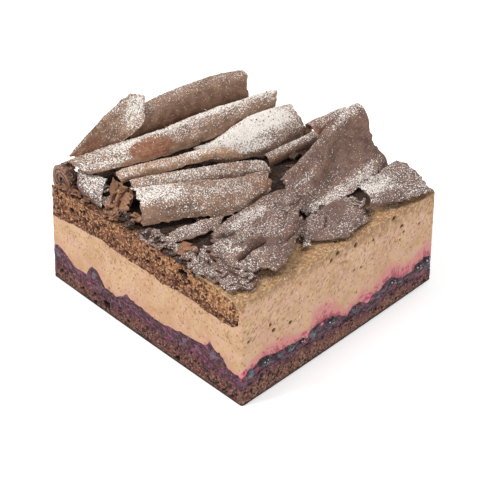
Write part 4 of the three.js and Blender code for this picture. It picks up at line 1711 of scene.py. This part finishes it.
class Rubble:
    """Broken chips of chocolate between and under the shavings."""

    SHAPES = 7
    THICK = 0.12
    REACH = 39.3
    DUST = {Tone.DUSTED: 0.45, Tone.BARE: 0.12, Tone.DARK: 0.1}
    HANDFULS = {
        Tone.DUSTED: (
            Heaplet((-23.2, -33.4, 37), (1.8, 1.2, 1), 7, (2.4, 4.4), 35),
            Heaplet((-20.5, -36.2, 35.4), (2.4, 1.4, 0.7), 8, (2, 4)),
            Heaplet((3.4, -37, 35.2), (4, 1.2, 0.5), 9, (1.8, 4), 16),
            Heaplet((9.4, -37, 35), (2.6, 1.3, 0.5), 8, (1.8, 4), 16),
            Heaplet((18.2, -36.8, 35.2), (2.4, 1.6, 0.5), 9, (2, 4.4), 16),
            Heaplet((24, -38.4, 35.2), (4.5, 1, 0.4), 9, (2.2, 5), 14),
            Heaplet((31, -37.6, 35.4), (4.5, 1.2, 0.4), 9, (2.2, 5), 14),
            Heaplet((33.5, -33.5, 36), (3, 1.5, 0.5), 5, (2, 4.4), 16),
            Heaplet((29.6, -5, 34.8), (2.4, 3.5, 0.4), 9, (2.2, 5), 12),
            Heaplet((33, -8.6, 34.5), (1.4, 1.4, 0.2), 3, (1.6, 3.2), 10),
            Heaplet((30.4, 14.6, 34.9), (2.2, 2, 0.5), 7, (1.8, 4), 18),
            Heaplet((-24.5, 10, 44.4), (0.8, 5, 0.3), 3, (1, 2.2), 40),
        ),
        Tone.BARE: (
            Heaplet((-18.8, -31.8, 37.4), (1.6, 1, 1.2), 6, (2.6, 5), 55),
            Heaplet((-15.6, -31.6, 36.8), (1.6, 1, 0.9), 5, (2.4, 4.6), 55),
            Heaplet((-16.6, -35.8, 35.2), (2.2, 1.2, 0.6), 7, (2, 4.2), 30),
            Heaplet((-13.5, -38.2, 34.7), (3.2, 0.9, 0.4), 9, (1.2, 3.2)),
            Heaplet((-15.6, -39, 34.3), (1.4, 0.7, 0.3), 3, (2, 3.4), 15),
            Heaplet((-5.8, -35, 35.6), (2.2, 1.3, 0.8), 8, (1.2, 2.8), 35),
            Heaplet((13.4, -35.6, 35.4), (2, 1.6, 0.7), 3, (2.4, 4.4), 22),
            Heaplet((-27.5, -38.6, 34.8), (3.2, 0.9, 0.5), 12, (1.2, 3), 30),
            Heaplet((-31.8, -38.8, 35.2), (1.6, 0.7, 0.6), 7, (1.4, 3), 40),
            Heaplet((-35.4, -38.6, 34.4), (2, 0.8, 0.5), 9, (1.4, 3), 35),
            Heaplet((-27.6, -3, 43), (0.6, 2, 0.3), 3, (1.2, 2.4), 50),
        ),
        # near-black chips under and between the shavings, partly painted shade for the shadowed gaps
        Tone.DARK: (
            Heaplet((-8.6, -37, 35), (3, 1.2, 0.5), 16, (1.2, 3.2)),
            Heaplet((2.2, -37.6, 34.8), (4, 1.1, 0.5), 20, (1.2, 3.4)),
            Heaplet((12.5, -38.6, 34.3), (3, 0.8, 0.3), 7, (1.6, 3.6), 15),
            Heaplet((21.5, -38.8, 34.5), (4, 0.8, 0.3), 12, (1.2, 3), 20),
            Heaplet((27, 3, 34.9), (1.2, 4, 0.4), 8, (1.8, 4), 15),
            Heaplet((34.5, 14.4, 34.3), (1.6, 1.4, 0.3), 6, (1.4, 3), 20),
            Heaplet((-31.5, -37.6, 35.6), (1.6, 1.2, 0.9), 12, (1.4, 3.4), 40),
            Heaplet((-36, -33.6, 34.8), (1.4, 2, 0.6), 8, (1.6, 3.4), 20),
            Heaplet((-32.6, -31.6, 36.8), (1.2, 1.6, 0.8), 6, (2, 3.6), 20),
            Heaplet((-9, 0, 34.4), (16, 28, 0.4), 70, (1.6, 4.4)),
        ),
    }

    def chip(self, number: int) -> bpy.types.Object:
        """One thin plate with a jagged outline, about a unit long."""
        clear_selection()
        bpy.ops.mesh.primitive_grid_add(x_subdivisions=4, y_subdivisions=3, size=1)
        piece = named(f"chip_{number}")
        points = read_points(piece)
        chance = np.random.default_rng(SEED + 110 + number)
        rim = smoothstep(np.abs(points[:, :2]).max(axis=1), 0.2, 0.5)
        points[:, :2] *= (1 + rim * chance.uniform(-0.4, 0.25, len(points)))[:, None]
        points[:, 1] *= chance.uniform(0.5, 0.85)
        points[:, 2] = (-1) ** number * 0.18 * points[:, 0] ** 2 + chance.normal(0, 0.02, len(points))
        write_points(piece, points)
        apply_modifier(piece, "SOLIDIFY", {"thickness": self.THICK, "offset": 0})
        return piece

    def scatter(self, tone: Tone, rng: np.random.Generator) -> tuple[Points, Points, Points]:
        """The corners and triangles of all the chips of one look, and each corner's place on its own chip."""
        shapes = [copied_shape(self.chip(number)) for number in range(self.SHAPES)]
        corners, faces, flats, total = [], [], [], 0
        for handful in self.HANDFULS[tone]:
            for _ in range(handful.count):
                points, triangles = shapes[rng.integers(self.SHAPES)]
                size = rng.uniform(*handful.size)
                turn = Matrix.Rotation(rng.uniform(0, 2 * math.pi), 3, "Z")
                lean = Matrix.Rotation(math.radians(rng.normal(0, handful.tilt)), 3, "X")
                spot = np.array(handful.middle) + rng.uniform(-1, 1, 3) * handful.spread
                spot[:2] = np.clip(spot[:2], -self.REACH, self.REACH)
                placed = (points * size) @ np.array(turn @ lean).T + spot
                corners.append(placed)
                flats.append(points[:, :2] * size + rng.uniform(0, 40, 2))
                faces.append(triangles + total)
                total += len(points)
        return np.concatenate(corners), np.concatenate(faces), np.concatenate(flats)

    def build(self, finishes: dict[Tone, bpy.types.Material]) -> list[bpy.types.Object]:
        """Makes and dresses one piece for each look.

        Args:
            finishes: the material of each look.

        Returns:
            The pieces that sugar can lie on.
        """
        rng = np.random.default_rng(SEED + 5)
        pieces = []
        for tone, finish in finishes.items():
            corners, faces, flats = self.scatter(tone, rng)
            piece = piece_from(f"{tone.value}_chips", corners, faces)
            write_sheet_place(piece, flats)
            up = smoothstep(read_normals(piece)[:, 2], 0, 0.8)
            grey = 0.6 if tone is Tone.DUSTED else 0.1
            bare = 0.3 if tone is Tone.BARE else 0
            write_marks(piece, dust=up * self.DUST[tone], grey=grey, bare=bare, pale=0, crack=0)
            dress(piece, finish)
            pieces.append(piece)
        return pieces


# ---------------------------------------------------------------- sugar and crumbs


@dataclass
class Scatter:
    """Many small grains lying on the outside of other pieces, as one piece."""

    name: str
    count: int
    smallest: float
    largest: float

    FLATNESS = 0.8

    def spots(self, grounds: Sequence[bpy.types.Object], rng: np.random.Generator) -> tuple[Points, Points]:
        """Random places on upward faces, more where there is more dust.

        Args:
            grounds: the pieces to lie on.
            rng: the source of chance.

        Returns:
            The places in millimetres, and the outward direction at each.
        """
        corners, ways, chances = [], [], []
        for ground in grounds:
            ground.data.calc_loop_triangles()
            triangles = ground.data.loop_triangles
            index = read_all(triangles, "vertices", 3, int)
            area = read_all(triangles, "area")
            normal = read_all(triangles, "normal", 3)
            dust = read_mark(ground, "dust")[index].mean(axis=1)
            corners.append(read_points(ground)[index] / MM)
            ways.append(normal)
            chances.append(area * dust**2 * smoothstep(normal[:, 2], 0.1, 0.8))
        corners, ways, chances = np.concatenate(corners), np.concatenate(ways), np.concatenate(chances)
        pick = rng.choice(len(chances), self.count, p=chances / chances.sum())
        share = rng.dirichlet((1, 1, 1), self.count)
        return np.einsum("nk,nkd->nd", share, corners[pick]), ways[pick]

    def build(self, template: bpy.types.Object, grounds: Sequence[bpy.types.Object]) -> bpy.types.Object:
        """One piece of copies of the template, which is used up."""
        rng = np.random.default_rng(SEED)
        shape, faces = copied_shape(template)
        places, ways = self.spots(grounds, rng)
        size = self.smallest + (self.largest - self.smallest) * rng.random(self.count) ** 2
        stretch = rng.uniform(0.6, 1.2, (self.count, 3)) * (1, 1, self.FLATNESS)
        angle = rng.uniform(0, 2 * np.pi, self.count)
        cos, sin = np.cos(angle), np.sin(angle)
        grains = shape[None] * stretch[:, None]
        turned = np.stack([
            grains[..., 0] * cos[:, None] - grains[..., 1] * sin[:, None],
            grains[..., 0] * sin[:, None] + grains[..., 1] * cos[:, None],
            grains[..., 2],
        ], axis=-1)
        points = turned * size[:, None, None] + (places + ways * (size * 0.25)[:, None])[:, None]
        index = faces[None] + (np.arange(self.count) * len(shape))[:, None, None]
        return piece_from(self.name, points.reshape(-1, 3), index.reshape(-1, 3))


class Dusting:
    """Icing sugar and chocolate crumbs over the heap."""

    GRAINS = 24000
    CRUMBS = 260

    def build(self, grounds: Sequence[bpy.types.Object]) -> None:
        """Makes and dresses both."""
        clear_selection()
        bpy.ops.mesh.primitive_cone_add(vertices=5, radius1=0.46, radius2=0, depth=0.8)
        sugar = Scatter("icing_sugar", self.GRAINS, 0.14, 0.42).build(named("grain"), grounds)
        white = PlainFinish("sugar_finish", "#f4efe9", "#dcd5cd", 0.6, 0.85)
        dress(sugar, white.make())
        clear_selection()
        bpy.ops.mesh.primitive_ico_sphere_add(subdivisions=1, radius=0.5)
        crumbs = Scatter("chocolate_crumbs", self.CRUMBS, 0.25, 0.6).build(named("crumb"), grounds)
        brown = PlainFinish("crumb_finish", "#5b3e30", "#8a6a55", 0.5, 0.8)
        dress(crumbs, brown.make())


# ---------------------------------------------------------------- studio


@dataclass
class Studio:
    """Plain floor, soft lights and the camera."""

    target: Triple = (5.486, -6.745, 20.0)
    distance: float = 352.501
    azimuth: float = 44.875
    elevation: float = 35.372
    roll: float = 0.58
    lens: float = 90.0

    SENSOR = 36
    FLOOR_WIDTH = 6
    FLOOR_DEPTH = 0.0002
    LIT = (0, 0, 0.03)
    DAYLIGHT = 0.36

    def floor(self) -> None:
        """A wide pale floor."""
        clear_selection()
        bpy.ops.mesh.primitive_plane_add(size=self.FLOOR_WIDTH, location=(0, 0, -self.FLOOR_DEPTH))
        floor = named("floor")
        bpy.ops.object.transform_apply(location=True)
        finish = PlainFinish("floor_finish", "#fafafa", "#f7f7f7", 400, 0.9, 0.3)
        floor.data.materials.append(finish.make())

    def light(self, name: str, place: Triple, size: float, power: float, colour: Triple = (1, 1, 1)) -> None:
        """A square soft light that looks at the cake; its place and size are in metres."""
        data = bpy.data.lights.new(name, "AREA")
        data.size = size
        data.energy = power
        data.color = colour
        lamp = bpy.data.objects.new(name, data)
        bpy.context.scene.collection.objects.link(lamp)
        lamp.location = place
        lamp.rotation_euler = (Vector(self.LIT) - Vector(place)).to_track_quat("-Z", "Y").to_euler()

    def camera(self) -> None:
        """The camera at the photograph's viewing angle."""
        azimuth, elevation = math.radians(self.azimuth), math.radians(self.elevation)
        back = Vector((
            math.sin(azimuth) * math.cos(elevation), -math.cos(azimuth) * math.cos(elevation), math.sin(elevation)
        ))
        right = Vector((math.cos(azimuth), math.sin(azimuth), 0))
        up = back.cross(right)
        turn = math.radians(self.roll)
        right, up = right * math.cos(turn) + up * math.sin(turn), up * math.cos(turn) - right * math.sin(turn)
        place = (Vector(self.target) + back * self.distance) * MM
        data = bpy.data.cameras.new("camera")
        data.lens = self.lens
        data.sensor_width = self.SENSOR
        data.clip_start = 0.01
        camera = bpy.data.objects.new("camera", data)
        bpy.context.scene.collection.objects.link(camera)
        turned = Matrix((right, up, back)).transposed().to_4x4()
        camera.matrix_world = Matrix.Translation(place) @ turned
        bpy.context.scene.camera = camera

    def build(self) -> None:
        """Sets everything up."""
        self.floor()
        self.light("key", (-0.35, -0.55, 0.85), 0.35, 7.2, (1, 0.985, 0.96))
        self.light("fill", (0.8, -0.3, 0.5), 0.28, 1.9, (0.97, 0.985, 1))
        self.light("top", (0.1, 0.4, 1.0), 0.5, 4.0)
        world = bpy.data.worlds.new("studio")
        world.use_nodes = True
        sky = world.node_tree.nodes["Background"]
        sky.inputs["Color"].default_value = (1, 1, 1, 1)
        sky.inputs["Strength"].default_value = self.DAYLIGHT
        bpy.context.scene.world = world
        bpy.context.scene.view_settings.view_transform = "Standard"
        self.camera()


def main() -> None:
    """Builds the scene in order and reports each piece."""
    logging.basicConfig(level=logging.INFO, format="%(name)s %(message)s")
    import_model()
    clear_selection()
    Studio().build()
    layers = CakeBody().build()
    BerryBed().build()
    pieces = Heap().build()
    Dusting().build([*layers, *pieces])


if __name__ == "__main__":
    main()
